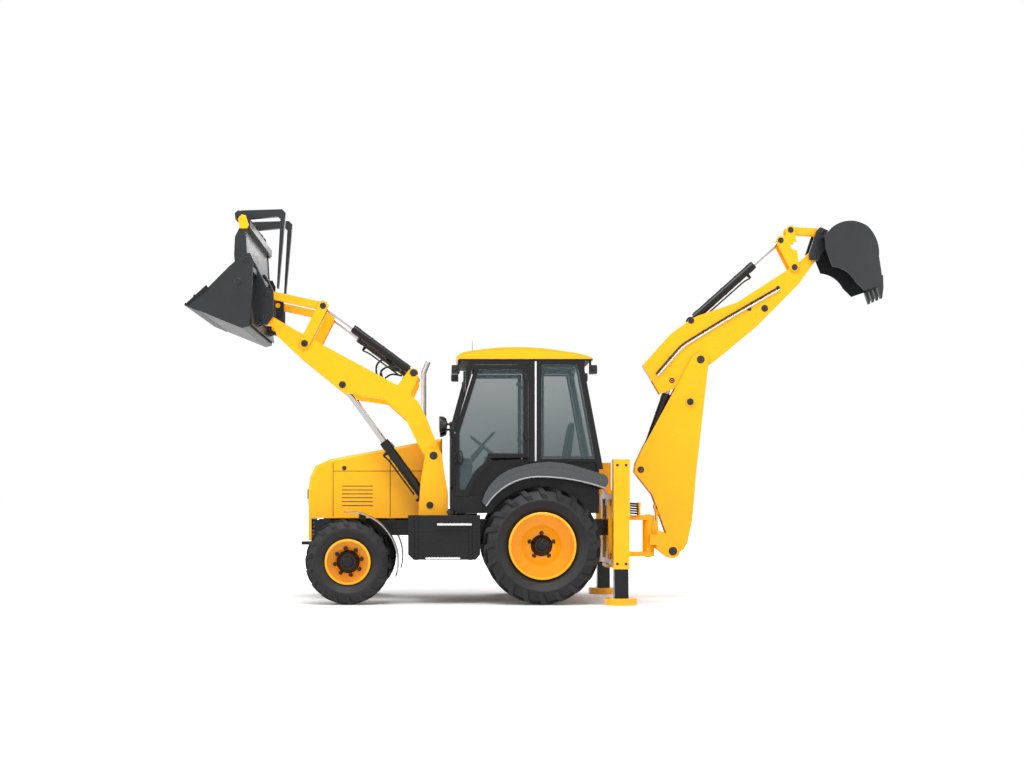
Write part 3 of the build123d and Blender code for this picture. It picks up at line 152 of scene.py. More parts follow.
def surface(name, colour, rough, metallic=0.0, coat=0.0, vary=0.06, rough_vary=0.06,
            grain=60.0, grain_depth=0.0002, patch=1.4, edge=0.004, shine=0.5):
    """Paint, metal or plastic: patches of tone, uneven gloss and a fine skin."""
    mat, nodes, links, shader, coords = tree(name)
    tone = noise(nodes, links, coords, patch, 5.0, 0.55)
    dark = tuple(c * (1.0 - vary) for c in colour)
    light = tuple(min(1.0, c * (1.0 + vary)) for c in colour)
    tones = ramp(nodes, links, tone, ((0.3, dark), (0.7, light)))
    links.new(tones, shader.inputs["Base Color"])
    gloss = noise(nodes, links, coords, patch * 6.0, 6.0, 0.6)
    glosses = spread(nodes, links, gloss, rough - rough_vary, rough + rough_vary)
    links.new(glosses, shader.inputs["Roughness"])
    skin = noise(nodes, links, coords, grain, 3.0, 0.6)
    links.new(bump(nodes, links, skin, grain_depth, 0.6, edge), shader.inputs["Normal"])
    dial(shader, Metallic=metallic, Specular_IOR_Level=shine)
    if coat:
        dial(shader, Coat_Weight=coat, Coat_Roughness=0.08)
    return mat


def rubber(name, colour, rough):
    """Tyre rubber: a dusty bloom and fine pits."""
    mat, nodes, links, shader, coords = tree(name)
    bloom = noise(nodes, links, coords, 5.0, 6.0, 0.65)
    dusty = tuple(c * 1.9 + 0.006 for c in colour)
    tones = ramp(nodes, links, bloom, ((0.35, colour), (0.75, dusty)))
    links.new(tones, shader.inputs["Base Color"])
    glosses = spread(nodes, links, bloom, rough - 0.1, rough + 0.08)
    links.new(glosses, shader.inputs["Roughness"])
    dial(shader, Specular_IOR_Level=0.35)
    pits = noise(nodes, links, coords, 180.0, 3.0, 0.7)
    links.new(bump(nodes, links, pits, 0.0008, 0.5, 0.006), shader.inputs["Normal"])
    return mat


def glass(name, colour):
    """Tinted safety glass: mirror gloss, with painted shade that makes the pane darker towards
    the sill and painted reflection that makes it paler towards its head.
    """
    mat, nodes, links, shader, coords = tree(name)
    haze = noise(nodes, links, coords, 2.0, 3.0)
    pale = tuple(c * 1.25 for c in colour)
    tones = ramp(nodes, links, haze, ((0.35, colour), (0.7, pale)))
    links.new(tones, shader.inputs["Base Color"])
    split = nodes.new("ShaderNodeSeparateXYZ")
    links.new(coords, split.inputs[0])
    # painted shade and reflection: opacity set by height, darker at the sill and paler at the
    # head
    sill, head = 1.3, 2.6
    painted_shade_alpha = spread(nodes, links, split.outputs["Z"], 0.52, 0.30, (sill, head))
    links.new(painted_shade_alpha, shader.inputs["Alpha"])
    dial(shader, Roughness=0.03, Specular_IOR_Level=0.75)
    return mat


def cloth(name, colour):
    """Woven seat cloth, with painted shade on its weave: the threads' raised crowns lighter, the
    gaps between them darker.
    """
    mat, nodes, links, shader, coords = tree(name)
    threads = []
    for axis in ("X", "Z"):
        wave = nodes.new("ShaderNodeTexWave")
        wave.bands_direction = axis
        dial(wave, Scale=110.0, Distortion=0.6)
        links.new(coords, wave.inputs["Vector"])
        threads.append(wave.outputs["Fac"])
    weave = combine(nodes, links, "MAXIMUM", *threads)
    # painted shade: the weave's raised threads lighter and the gaps between them darker,
    # following the bump's height
    crown = tuple(c * 1.8 for c in colour)
    tones = ramp(nodes, links, weave, ((0.2, colour), (0.9, crown)))
    links.new(tones, shader.inputs["Base Color"])
    links.new(bump(nodes, links, weave, 0.0012, 0.8), shader.inputs["Normal"])
    dial(shader, Roughness=0.85, Sheen_Weight=0.3)
    return mat


YELLOW = surface("yellow_paint_gloss", (0.95, 0.43, 0.0), 0.30, coat=0.25, vary=0.04,
                 grain=420.0, grain_depth=0.00004, shine=0.3)
BLACK = surface("black_paint_satin", (0.005, 0.005, 0.0055), 0.28, coat=0.15,
                grain=300.0, shine=0.3)
CHARCOAL = surface("charcoal_paint_satin", (0.016, 0.017, 0.019), 0.38, coat=0.1, vary=0.12,
                   grain=200.0, shine=0.35)
FENDER = surface("grey_moulding", (0.045, 0.047, 0.051), 0.26, coat=0.4,
                 grain=240.0, grain_depth=0.00003, edge=0.008)
# a lighter grey for the rolled lower edges of fenders and mudguards: a painted highlight
LIP_HIGHLIGHT = surface("rolled_edge_painted_highlight", (0.30, 0.31, 0.32), 0.35, coat=0.2, grain=240.0)
TRIM = surface("cab_moulding", (0.016, 0.016, 0.018), 0.55, grain=500.0, grain_depth=0.0006)
# a pale strip on the black door post: a painted highlight
POST_HIGHLIGHT = surface("post_strip_painted_highlight", (0.70, 0.71, 0.73), 0.35, metallic=0.2, vary=0.05)
STEEL = surface("bright_pipe", (0.72, 0.72, 0.74), 0.34, metallic=0.75, vary=0.08)
CHROME = surface("rod_plating", (0.62, 0.62, 0.64), 0.12, metallic=1.0,
                 vary=0.02, rough_vary=0.03)
IRON = surface("engine_casting", (0.05, 0.05, 0.053), 0.6, metallic=0.3,
               grain=90.0, grain_depth=0.001)
ZINC = surface("plated_fasteners", (0.030, 0.030, 0.034), 0.32, metallic=0.4, vary=0.15)
LAMP = surface("lamp_housing", (0.010, 0.010, 0.010), 0.28, grain=300.0)
CLEAR = surface("lamp_lens_clear", (0.60, 0.62, 0.64), 0.12, coat=0.6, patch=30.0)
RED = surface("lamp_lens_red", (0.50, 0.012, 0.008), 0.16, coat=0.6, patch=30.0)
PALE = surface("tread_alloy", (0.80, 0.81, 0.82), 0.45, metallic=0.1,
               grain=160.0, grain_depth=0.0012)
GRIP = surface("grip_rubber", (0.010, 0.010, 0.010), 0.42, grain=260.0, grain_depth=0.0006)
SEAL = surface("rubber_seal", (0.006, 0.006, 0.006), 0.6, grain=260.0, shine=0.3)
MIRROR = surface("mirror_face", (0.75, 0.77, 0.8), 0.03, metallic=1.0,
                 vary=0.02, rough_vary=0.01)
WORN = surface("worn_steel_edge", (0.07, 0.07, 0.075), 0.45, metallic=0.6, vary=0.3,
               patch=6.0, grain=120.0)
TYRE = rubber("tyre_compound", (0.008, 0.008, 0.009), 0.55)
PANE = glass("tinted_glass_pane", (0.050, 0.085, 0.088))
CLOTH = cloth("seat_cloth", (0.018, 0.018, 0.02))

SLOT_MATERIAL = {
    "yellow_paint": YELLOW, "black_paint": BLACK, "charcoal_paint": CHARCOAL,
    "fender_grey": FENDER, "tyre_rubber": TYRE, "tinted_glass": PANE, "rod_chrome": CHROME,
    "seat_fabric": CLOTH, "cab_trim": TRIM, "stack_steel": STEEL, "engine_iron": IRON,
    "lamp_plastic": LAMP,
}
CAD_CREASE = math.radians(32)
for part in frame["record"]["subparts"]:
    node = NODES[part["node"]]
    node.data.materials.clear()
    node.data.materials.append(SLOT_MATERIAL[part["material_slot"]])
    node.data.shade_smooth()
    node.data.set_sharp_from_angle(angle=CAD_CREASE)


# ---------------------------------------------------------------- places
def placed(name, data):
    """A new object in the scene."""
    obj = bpy.data.objects.new(name, data)
    bpy.context.scene.collection.objects.link(obj)
    return obj


def at(place, y):
    """A side-view place at y."""
    return Vector((place[0], y, place[1]))


def turns(count, closed=False):
    """Even angles round a circle, with the first one again where it is closed."""
    return [FULL_TURN * i / count for i in range(count + closed)]


def around(centre, radius, angle):
    """A side-view place on a circle."""
    return centre[0] + radius * math.cos(angle), centre[1] + radius * math.sin(angle)


def inset(points, amount):
    """A counter-clockwise outline moved inwards, corner by corner."""
    out = []
    for before, here, after in zip(points[-1:] + points[:-1], points, points[1:] + points[:1]):
        a = (Vector(here) - Vector(before)).normalized()
        b = (Vector(after) - Vector(here)).normalized()
        na, nb = Vector((-a.y, a.x)), Vector((-b.y, b.x))
        middle = na + nb
        if middle.length > 1e-6:
            middle = middle / max(0.35, middle.length_squared / 2.0)
        else:
            middle = na
        moved = Vector(here) + middle * amount
        out.append((moved.x, moved.y))
    return out


def bent(points, bend):
    """A pipe's line: straight runs joined by round bends."""
    out = [points[0]]
    for before, here, after in zip(points, points[1:], points[2:]):
        reach = min(bend, 0.45 * (here - before).length, 0.45 * (after - here).length)
        start = here + (before - here).normalized() * reach
        end = here + (after - here).normalized() * reach
        for i in range(6):
            t = i / 5
            out.append(start.lerp(here, t).lerp(here.lerp(end, t), t))
    out.append(points[-1])
    return out


def arc(a, b, c, count):
    """count places on the round arc from a through b to c."""
    (ax, az), (bx, bz), (cx, cz) = a, b, c
    d = 2.0 * (ax * (bz - cz) + bx * (cz - az) + cx * (az - bz))
    aa, bb, cc = ax * ax + az * az, bx * bx + bz * bz, cx * cx + cz * cz
    ux = (aa * (bz - cz) + bb * (cz - az) + cc * (az - bz)) / d
    uz = (aa * (cx - bx) + bb * (ax - cx) + cc * (bx - ax)) / d
    r = math.dist(a, (ux, uz))
    start = math.atan2(az - uz, ax - ux)
    turn = math.atan2(cz - uz, cx - ux) - start
    turn = (turn + math.pi) % FULL_TURN - math.pi
    return [around((ux, uz), r, start + turn * i / (count - 1)) for i in range(count)]


# ---------------------------------------------------------------- pieces
class Piece:
    """One object made of several closed forms, in one material, which rides on a body."""

    def __init__(self, name, body, mat, slot, sharp=35):
        self.name, self.body, self.mat, self.slot, self.sharp = name, body, mat, slot, sharp
        self.bm = bmesh.new()

    def ring(self, points):
        """New corners at points."""
        return [self.bm.verts.new(p) for p in points]

    def skin(self, rings, closed=False):
        """Faces between rings of equally many corners: capped at both ends, or closed."""
        pairs = list(zip(rings, rings[1:]))
        if closed:
            pairs.append((rings[-1], rings[0]))
        for a, b in pairs:
            n = len(a)
            for i in range(n):
                self.bm.faces.new((a[i], a[(i + 1) % n], b[(i + 1) % n], b[i]))
        if not closed:
            self.bm.faces.new(reversed(rings[0]))
            self.bm.faces.new(rings[-1])

    def prism(self, outline, y0, y1, chamfer=0.0):
        """An outline of (x, z) points from y0 to y1, its rims chamfered."""
        low, high = min(y0, y1), max(y0, y1)
        area = sum(a[0] * b[1] - b[0] * a[1] for a, b in zip(outline, outline[1:] + outline[:1]))
        points = list(outline) if area > 0 else list(reversed(outline))
        if not chamfer:
            self.skin([self.ring([(x, y, z) for x, z in points]) for y in (high, low)])
            return
        small = inset(points, chamfer)
        self.skin([
            self.ring([(x, high, z) for x, z in small]),
            self.ring([(x, high - chamfer, z) for x, z in points]),
            self.ring([(x, low + chamfer, z) for x, z in points]),
            self.ring([(x, low, z) for x, z in small]),
        ])

    def box(self, x0, x1, y0, y1, z0, z1, c=0.004):
        """A box with chamfered rims on its two side faces."""
        corners = [(x0, z0), (x1, z0), (x1, z1), (x0, z1)]
        self.prism(corners, y0, y1, min(c, 0.3 * abs(y1 - y0)))

    def turned(self, centre, axis, profile, segments=32, hollow=False):
        """(along, radius) points turned round an axis: closed by discs, or a hollow ring."""
        axis = Vector(axis).normalized()
        side = axis.orthogonal().normalized()
        up = axis.cross(side)
        centre = Vector(centre)
        rings = []
        for along, radius in profile:
            radius = max(radius, 1e-5)
            rings.append(self.ring([
                centre + axis * along + (side * math.cos(t) + up * math.sin(t)) * radius
                for t in turns(segments)
            ]))
        self.skin(rings, closed=hollow)

    def pipe(self, points, radius, segments=10, bend=0.05):
        """A rigid pipe through points, with round bends."""
        path = bent([Vector(p) for p in points], bend)
        normal = (path[1] - path[0]).normalized().orthogonal().normalized()
        rings = []
        for i, p in enumerate(path):
            ahead = (path[min(i + 1, len(path) - 1)] - path[max(i - 1, 0)]).normalized()
            normal = (normal - ahead * normal.dot(ahead)).normalized()
            across = ahead.cross(normal)
            rings.append(self.ring([
                p + (normal * math.cos(t) + across * math.sin(t)) * radius
                for t in turns(segments)
            ]))
        self.skin(rings)

    def bolt(self, centre, axis, size, washer=True):
        """A hexagon head on a washer; size is across the corners."""
        if washer:
            self.turned(centre, axis, (
                (0.0, 0.72 * size), (0.10 * size, 0.72 * size), (0.13 * size, 0.66 * size),
            ), 20)
        self.turned(centre, axis, (
            (0.12 * size, 0.5 * size), (0.38 * size, 0.5 * size), (0.45 * size, 0.42 * size),
        ), 6)

    def done(self):
        """The finished object, shaded and riding on its body."""
        bmesh.ops.recalc_face_normals(self.bm, faces=self.bm.faces)
        data = bpy.data.meshes.new(self.name)
        self.bm.to_mesh(data)
        self.bm.free()
        obj = placed(self.name, data)
        data.materials.append(self.mat)
        data.shade_smooth()
        data.set_sharp_from_angle(angle=math.radians(self.sharp))
        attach(obj, self.body)
        return obj


# ---------------------------------------------------------------- pins
# body, pivot, outermost |y| of the joint, radius of the cap
PINS = (
    ("machine", ARM_PIVOT, 0.670, 0.046), ("machine", LIFT_BASE, 0.670, 0.040),
    ("loader_arms", LEVER_PIVOT, 0.657, 0.040), ("loader_arms", TILT_BASE, 0.636, 0.042),
    ("loader_arms", LIFT_EYE, 0.636, 0.040),
    ("tilt_levers", LEVER_TOP, 0.655, 0.036), ("shovel", ARM_TIP, 0.670, 0.040),
    ("shovel", LINK_PIN, 0.670, 0.036), ("shovel", CLAM_PIVOT, 1.178, 0.034),
    ("kingpost", BOOM_FOOT, 0.136, 0.050), ("kingpost", BOOM_RAM_BASE, 0.069, 0.036),
    ("boom", BOOM_HEAD, 0.101, 0.046), ("boom", BOOM_RAM_EYE, 0.114, 0.040),
    ("boom", DIPPER_RAM_BASE, 0.101, 0.038), ("dipper", DIPPER_RAM_EYE, 0.0605, 0.036),
    ("dipper", BUCKET_RAM_BASE, 0.069, 0.036), ("dipper", TIP_LEVER_PIVOT, 0.095, 0.036),
    ("tipping_lever", TIP_RAM_EYE, 0.095, 0.034), ("tipping_lever", TIP_LINK_TOP, 0.095, 0.034),
    ("hoe_bucket", BUCKET_PIVOT, 0.130, 0.040), ("hoe_bucket", BUCKET_LINK_PIN, 0.128, 0.034),
)
PIN_SEAT = 0.004  # how far a cap stands in the joint's face, and its bolt out of it


def pin_caps():
    """A turned cap and a locking bolt on each end of each pivot pin."""
    for n, (body, place, reach, radius) in enumerate(PINS):
        piece = Piece(f"pin_caps_{n:02d}_{body}", body, ZINC, "black_paint")
        for _, s in SIDES:
            piece.turned(at(place, s * (reach - PIN_SEAT)), (0, s, 0), (
                (0.0, radius), (0.009, radius), (0.013, radius * 0.88), (0.013, radius * 0.5),
                (0.010, radius * 0.42), (0.010, 0.0),
            ))
            piece.bolt(at(place, s * (reach + PIN_SEAT)), (0, s, 0), radius * 0.62)
        piece.done()


# ---------------------------------------------------------------- wheels
WHEELS = (
    # name, centre x, tyre radius, disc's |y|, hub radius, studs, their circle, their size
    ("wheel_front", FRONT_AXLE_X, FRONT_TYRE_R, 0.925, 0.120, 8, 0.150, 0.034),
    ("wheel_rear", 0.0, REAR_TYRE_R, 0.895, 0.110, 5, 0.135, 0.040),
)
HUB_BOLTS = 10


def wheels():
    """Hub covers with their bolts, and the wheels' studs."""
    for name, x, tyre_r, disc, hub_r, studs, circle, size in WHEELS:
        for side, s in SIDES:
            body = f"{name}_{side}"
            hub = Piece(f"hub_{body}", body, BLACK, "black_paint")
            hub.turned((x, s * (disc + 0.038), tyre_r), (0, s, 0), (
                (0.0, hub_r + 0.012), (0.012, hub_r + 0.012), (0.020, hub_r),
                (0.055, hub_r - 0.006), (0.078, hub_r - 0.030), (0.078, hub_r * 0.52),
                (0.098, hub_r * 0.46), (0.104, hub_r * 0.36), (0.104, 0.0),
            ), 40)
            hub.done()
            nuts = Piece(f"studs_{body}", body, ZINC, "black_paint")
            for i in range(studs):
                spot = around((x, tyre_r), circle, FULL_TURN * (i + 0.25) / studs)
                nuts.bolt(at(spot, s * (disc + 0.030)), (0, s, 0), size)
            for t in turns(HUB_BOLTS):
                spot = around((x, tyre_r), 0.62 * hub_r, t)
                nuts.bolt(at(spot, s * (disc + 0.112)), (0, s, 0), 0.016, washer=False)
            nuts.done()


# ---------------------------------------------------------------- rams
# body of the barrel, base, eye, barrel radius, barrel end from the base, ys, side of the pipe
RAM_FITTINGS = (
    ("lift_barrels", LIFT_BASE, LIFT_EYE, 0.055, 0.900, (-0.58, 0.58), -1),
    ("tilt_barrels", TILT_BASE, LEVER_TOP, 0.048, 0.865, (-0.58, 0.58), -1),
    ("boom_barrel", BOOM_RAM_BASE, BOOM_RAM_EYE, 0.057, 1.170, (0.0,), 1),
    ("dipper_barrel", DIPPER_RAM_BASE, DIPPER_RAM_EYE, 0.052, 0.950, (0.0,), 1),
    ("bucket_barrel", BUCKET_RAM_BASE, TIP_RAM_EYE, 0.050, 1.000, (0.0,), 1),
)
SLEEVE = 0.003     # a ring's depth into the barrel, and its height over it
PORT_INSET = 0.13  # oil ports, from the barrel's ends
PORT = ((0.0, 0.020), (0.024, 0.020), (0.028, 0.017), (0.050, 0.016), (0.052, 0.012))


def sleeve(radius, stations):
    """A thin ring's profile on a barrel, with its four corners at these stations."""
    inner, outer = radius - SLEEVE, radius + SLEEVE
    return tuple(zip(stations, (inner, outer, outer, inner)))


def ram_fittings():
    """Gland nuts, oil ports and the steel oil pipe strapped along each barrel."""
    for body, base, eye, radius, end, ys, way in RAM_FITTINGS:
        run = (at(eye, 0) - at(base, 0)).normalized()
        up = Vector((run.z, 0, -run.x)) * way
        gland = Piece(f"gland_{body}", body, BLACK, "black_paint")
        pipe = Piece(f"oil_pipe_{body}", body, BLACK, "black_paint")
        for y in ys:
            foot = at(base, y)
            for start, stations in (
                (end - 0.085, (0.0, 0.0, 0.060, 0.064)), (0.095, (0.0, 0.004, 0.040, 0.044)),
            ):
                gland.turned(foot + run * start, run, sleeve(radius, stations), 36, hollow=True)
            for distance in (PORT_INSET, end - PORT_INSET):
                gland.turned(foot + run * distance + up * (radius - 0.006), up, PORT, 6)
            far = foot + run * (end - PORT_INSET) + up * (radius + 0.045)
            near = foot + run * 0.20 + up * (radius + 0.022)
            pipe.pipe((far - up * 0.03, far, far - run * 0.08 - up * 0.020, near), 0.010)
            for distance in (0.32, 0.52 * end, end - 0.26):
                strap = sleeve(radius, (0.0, 0.0, 0.022, 0.022))
                pipe.turned(foot + run * distance, run, strap, 36, hollow=True)
        gland.done()
        pipe.done()


# ---------------------------------------------------------------- body trim
BONNET_REAR_X = -1.12
BONNET_REAR_TOP = 1.884
BONNET_FALL = 0.187              # what its top drops in a metre towards the front
BONNET_SEAMS = (0.4275, 0.4312)  # |y| of the seams' back and face
VENT_SLOTS = 6
TANK_STRAP_Y = 0.985
TREAD_TEETH = 22


def body_trim():
    """Bonnet seams, vents and latches; tank straps, step treads and filler caps."""
    for side, s in SIDES:
        back, face = (s * y for y in BONNET_SEAMS)
        seam = Piece(f"bonnet_seams_{side}", "machine", SEAL, "black_paint")
        for x in (-1.72, -2.38):
            top = BONNET_REAR_TOP + BONNET_FALL * (x - BONNET_REAR_X)
            seam.box(x - 0.004, x + 0.004, back, face, 0.975, top - 0.05, 0.001)
        seam.box(-2.38, -1.14, back, face, 1.50, 1.507, 0.001)
        seam.done()
        vent = Piece(f"bonnet_vents_{side}", "machine", TRIM, "black_paint")
        for i in range(VENT_SLOTS):
            z = 1.10 + 0.045 * i
            vent.prism([(-2.28, z), (-1.92, z), (-1.92, z + 0.010), (-2.28, z + 0.010)],
                       s * 0.4285, s * 0.4315, 0.001)
        vent.done()
        latch = Piece(f"bonnet_latches_{side}", "machine", ZINC, "black_paint")
        for x in (-1.60, -2.25):
            latch.turned((x, s * 0.4285, 1.54), (0, s, 0), (
                (0.0, 0.026), (0.006, 0.026), (0.009, 0.021), (0.009, 0.010), (0.006, 0.0),
            ), 28)
        latch.done()
        strap = Piece(f"tank_straps_{side}", "machine", BLACK, "black_paint")
        for x in (-1.405, -0.80):
            strap.prism([(x - 0.022, 0.497), (x + 0.022, 0.497), (x + 0.022, 1.003),
                         (x - 0.022, 1.003)], s * TANK_STRAP_Y, s * 0.9965, 0.004)
        for low, high in ((0.70, 0.712), (0.82, 0.832)):
            strap.box(-1.47, -0.72, s * TANK_STRAP_Y, s * 0.994, low, high, 0.002)
        for x in (-1.43, -0.745):
            for z in (0.60, 0.95):
                strap.bolt((x, s * 0.990, z), (0, s, 0), 0.022)
        strap.done()
        tread = Piece(f"step_treads_{side}", "machine", PALE, "stack_steel")
        for x0, x1, z in ((-1.18, -0.78, 0.905), (-1.31, -0.91, 0.525)):
            tread.box(x0 + 0.006, x1 - 0.006, s * 0.992, s * 1.0615, z - 0.018, z + 0.0015,
                      0.002)
            for i in range(TREAD_TEETH):
                x = x0 + 0.018 + (x1 - x0 - 0.036) * i / (TREAD_TEETH - 1)
                tread.prism([(x - 0.004, z), (x + 0.004, z), (x + 0.002, z + 0.008),
                             (x - 0.002, z + 0.008)], s * 0.996, s * 1.056)
        tread.done()
        filler = Piece(f"filler_cap_{side}", "machine", BLACK, "black_paint")
        filler.turned((-1.02, s * 0.93, 0.998), ALONG_Z, (
            (0.0, 0.036), (0.022, 0.036), (0.022, 0.050), (0.050, 0.048), (0.056, 0.040),
            (0.056, 0.0),
        ), 12)
        filler.done()


MUDGUARD_R = 0.561
EDGE_BEND = 0.01
# the fender side's section: how far down from its top edge to its lip, and |y|
FENDER_SECTION = (
    (0.0, 1.120), (0.04, 1.152), (0.30, 1.168), (0.85, 1.176), (0.96, 1.172), (1.0, 1.158),
    (0.90, 1.150), (0.25, 1.120),
)


def fender_outline():
    """The fender side's top edge and its lip over the tyre, as (x, z) points."""
    over = arc((-0.673, 1.150), (-0.530, 1.402), (-0.269, 1.541), 6)
    over += arc((-0.269, 1.541), (0.080, 1.594), (0.405, 1.541), 9)[1:]
    over += [(0.520, 1.506), (0.674, 1.461)]
    under = arc((-0.630, 1.105), (-0.360, 1.355), (-0.050, 1.432), 9)
    under += arc((-0.050, 1.432), (0.248, 1.412), (0.700, 1.302), 9)[1:]
    return over, under


def fender_sides():
    """Fenders' moulded sides, the rolled edges of fenders and mudguards in a lighter grey that is
    a painted highlight, and tail lamps.
    """
    over, under = fender_outline()
    for side, s in SIDES:
        piece = Piece(f"fender_side_{side}", "machine", FENDER, "fender_grey", sharp=50)
        rings = []
        for i, (x, z) in enumerate(over):
            u = i / (len(over) - 1) * (len(under) - 1)
            k = min(int(u), len(under) - 2)
            low = Vector(under[k]).lerp(Vector(under[k + 1]), u - k)
            high = Vector((x, z))
            spots = [(high.lerp(low, share), y) for share, y in FENDER_SECTION]
            rings.append(piece.ring([(p.x, s * y, p.y) for p, y in spots]))
        piece.skin(rings)
        piece.done()
        # the fender's rolled lower lip in lighter grey: a painted highlight
        edge = Piece(f"fender_edge_highlight_{side}", "machine", LIP_HIGHLIGHT, "fender_grey")
        edge.pipe([(x, s * 1.168, z) for x, z in under], 0.009, bend=EDGE_BEND)
        edge.done()
        # the mudguard's rolled edge in lighter grey: a painted highlight
        guard = Piece(f"mudguard_edge_highlight_{side}", f"knuckle_{side}", LIP_HIGHLIGHT, "black_paint")
        hoop = [around((FRONT_AXLE_X, FRONT_TYRE_R), MUDGUARD_R, math.radians(a))
                for a in range(93, -17, -5)]
        guard.pipe([at(spot, s * 1.124) for spot in hoop], 0.007, bend=EDGE_BEND)
        guard.done()
        tail = Piece(f"tail_lamp_{side}", "machine", RED, "lamp_plastic")
        tail.box(0.716, 0.736, s * 0.960, s * 1.090, 1.350, 1.408)
        tail.done()


def radiator():
    """The dark core behind the grille's slots."""
    core = Piece("radiator_core", "machine", TRIM, "black_paint")
    core.box(-2.658, -2.643, -0.297, 0.297, 0.775, 1.140, 0.002)
    core.done()


WORK_LAMP_Y = 0.62
WORK_LAMP_Z = 2.66


def headlamps():
    """Lenses on the headlamps, and lenses and bezels on the roof's front and rear lamps."""
    for side, s in SIDES:
        lens = Piece(f"lamp_lenses_{side}", "machine", CLEAR, "lamp_plastic")
        lens.prism([(-2.684, 1.188), (-2.676, 1.186), (-2.676, 1.284), (-2.684, 1.282)],
                   s * 0.250, s * 0.380, 0.002)
        bezel = Piece(f"lamp_bezels_{side}", "machine", LAMP, "lamp_plastic")
        for x, way in ((-1.005, -1), (0.645, 1)):
            centre = (x, s * WORK_LAMP_Y, WORK_LAMP_Z)
            lens.turned(centre, (way, 0, 0), (
                (-0.002, 0.040), (0.004, 0.039), (0.009, 0.030), (0.011, 0.0),
            ), 28)
            bezel.turned(centre, (way, 0, 0), (
                (-0.004, 0.049), (0.007, 0.048), (0.007, 0.0405), (-0.004, 0.0405),
            ), 28)
            bezel.bolt((x - way * 0.04, s * 0.681, WORK_LAMP_Z), (0, s, 0), 0.026)
        lens.done()
        bezel.done()


# ---------------------------------------------------------------- cab
COLUMN_HEAD = (-0.64, 1.82)  # the steering wheel's centre in side view
WHEEL_RIM_R = 0.192
WHEEL_SLOPE = (0.67, 0.74)   # of the rim's plane, in side view
# the rear side window's outline in side view
WINDOW = [(0.016, 1.646), (0.612, 1.646), (0.417, 2.704), (0.016, 2.704)]


def controls():
    """Dials, the steering wheel's grip and the levers."""
    dash = Piece("dash_dials", "machine", TRIM, "cab_trim")
    for y in (-0.12, 0.0, 0.12):
        dash.turned((-0.800, y, 1.628), (0.6, 0, 0.8), (
            (0.0, 0.045), (0.012, 0.045), (0.016, 0.038), (0.010, 0.034), (0.010, 0.0),
        ), 28)
    dash.done()
    rim = Piece("steering_wheel_grip", "machine", GRIP, "cab_trim")
    rim.pipe([
        (COLUMN_HEAD[0] + WHEEL_RIM_R * math.cos(t) * WHEEL_SLOPE[0],
         WHEEL_RIM_R * math.sin(t),
         COLUMN_HEAD[1] + WHEEL_RIM_R * math.cos(t) * WHEEL_SLOPE[1])
        for t in turns(36, closed=True)
    ], 0.016, bend=0.02)
    rim.done()
    for side, s in SIDES:
        levers = Piece(f"levers_{side}", "machine", GRIP, "cab_trim")
        for x in (-0.42, -0.36):
            base = Vector((x + 0.35, s * 0.38, 1.42))
            neck, top = Vector((-0.02, 0, 0.16)), Vector((-0.05, 0, 0.27))
            levers.pipe((base, base + neck, base + top), 0.008, bend=0.04)
            levers.turned(base + Vector((-0.05, 0, 0.26)), (-0.2, 0, 1), (
                (0.0, 0.012), (0.01, 0.020), (0.04, 0.025), (0.07, 0.022), (0.085, 0.012),
                (0.088, 0.0),
            ), 20)
        levers.done()


def cab_sides():
    """Window seals, door handles, a pale strip on each door post that is a painted highlight, the
    mirrors' faces and the corner lamps.
    """
    for side, s in SIDES:
        seal = Piece(f"window_seals_{side}", "machine", SEAL, "black_paint")
        small = inset(WINDOW, 0.022)
        outer_edges = zip(WINDOW, WINDOW[1:] + WINDOW[:1])
        inner_edges = zip(small, small[1:] + small[:1])
        for (a, b), (c, d) in zip(outer_edges, inner_edges):
            seal.prism([a, b, d, c], s * 0.716, s * 0.7285)
        seal.done()
        handle = Piece(f"door_handle_{side}", f"door_{side}", BLACK, "black_paint")
        handle.pipe([
            (-0.93 + 0.045 * math.cos(t), s * 0.778, 1.65 + 0.085 * math.sin(t))
            for t in turns(28, closed=True)
        ], 0.009, 8, 0.01)
        handle.box(-0.945, -0.915, s * 0.760, s * 0.790, 1.60, 1.70, 0.006)
        handle.done()
        # a pale strip down the black door post: a painted highlight
        post = Piece(f"door_post_highlight_strip_{side}", "machine", POST_HIGHLIGHT, "black_paint")
        post.box(-0.066, -0.046, s * 0.7605, s * 0.7655, 1.610, 2.745, 0.002)
        post.done()
        corner = Piece(f"corner_lamp_{side}", "machine", LAMP, "lamp_plastic")
        corner.turned((-1.115, s * 0.800, 2.030), (-1, 0, 0), (
            (-0.055, 0.030), (-0.040, 0.070), (0.0, 0.090), (0.030, 0.094), (0.036, 0.088),
            (0.036, 0.0),
        ))
        corner.pipe(((-1.075, s * 0.800, 2.030), (-1.03, s * 0.790, 2.030),
                     (-1.015, s * 0.735, 2.010)), 0.014, bend=0.03)
        corner.box(-1.033, -0.985, s * 0.745, s * 0.768, 1.955, 2.060)
        corner.done()
        wing = Piece(f"mirror_faces_{side}", "machine", MIRROR, "lamp_plastic")
        wing.box(-0.8555, -0.8535, s * 0.812, s * 0.938, 2.395, 2.605, 0.0008)
        wing.done()


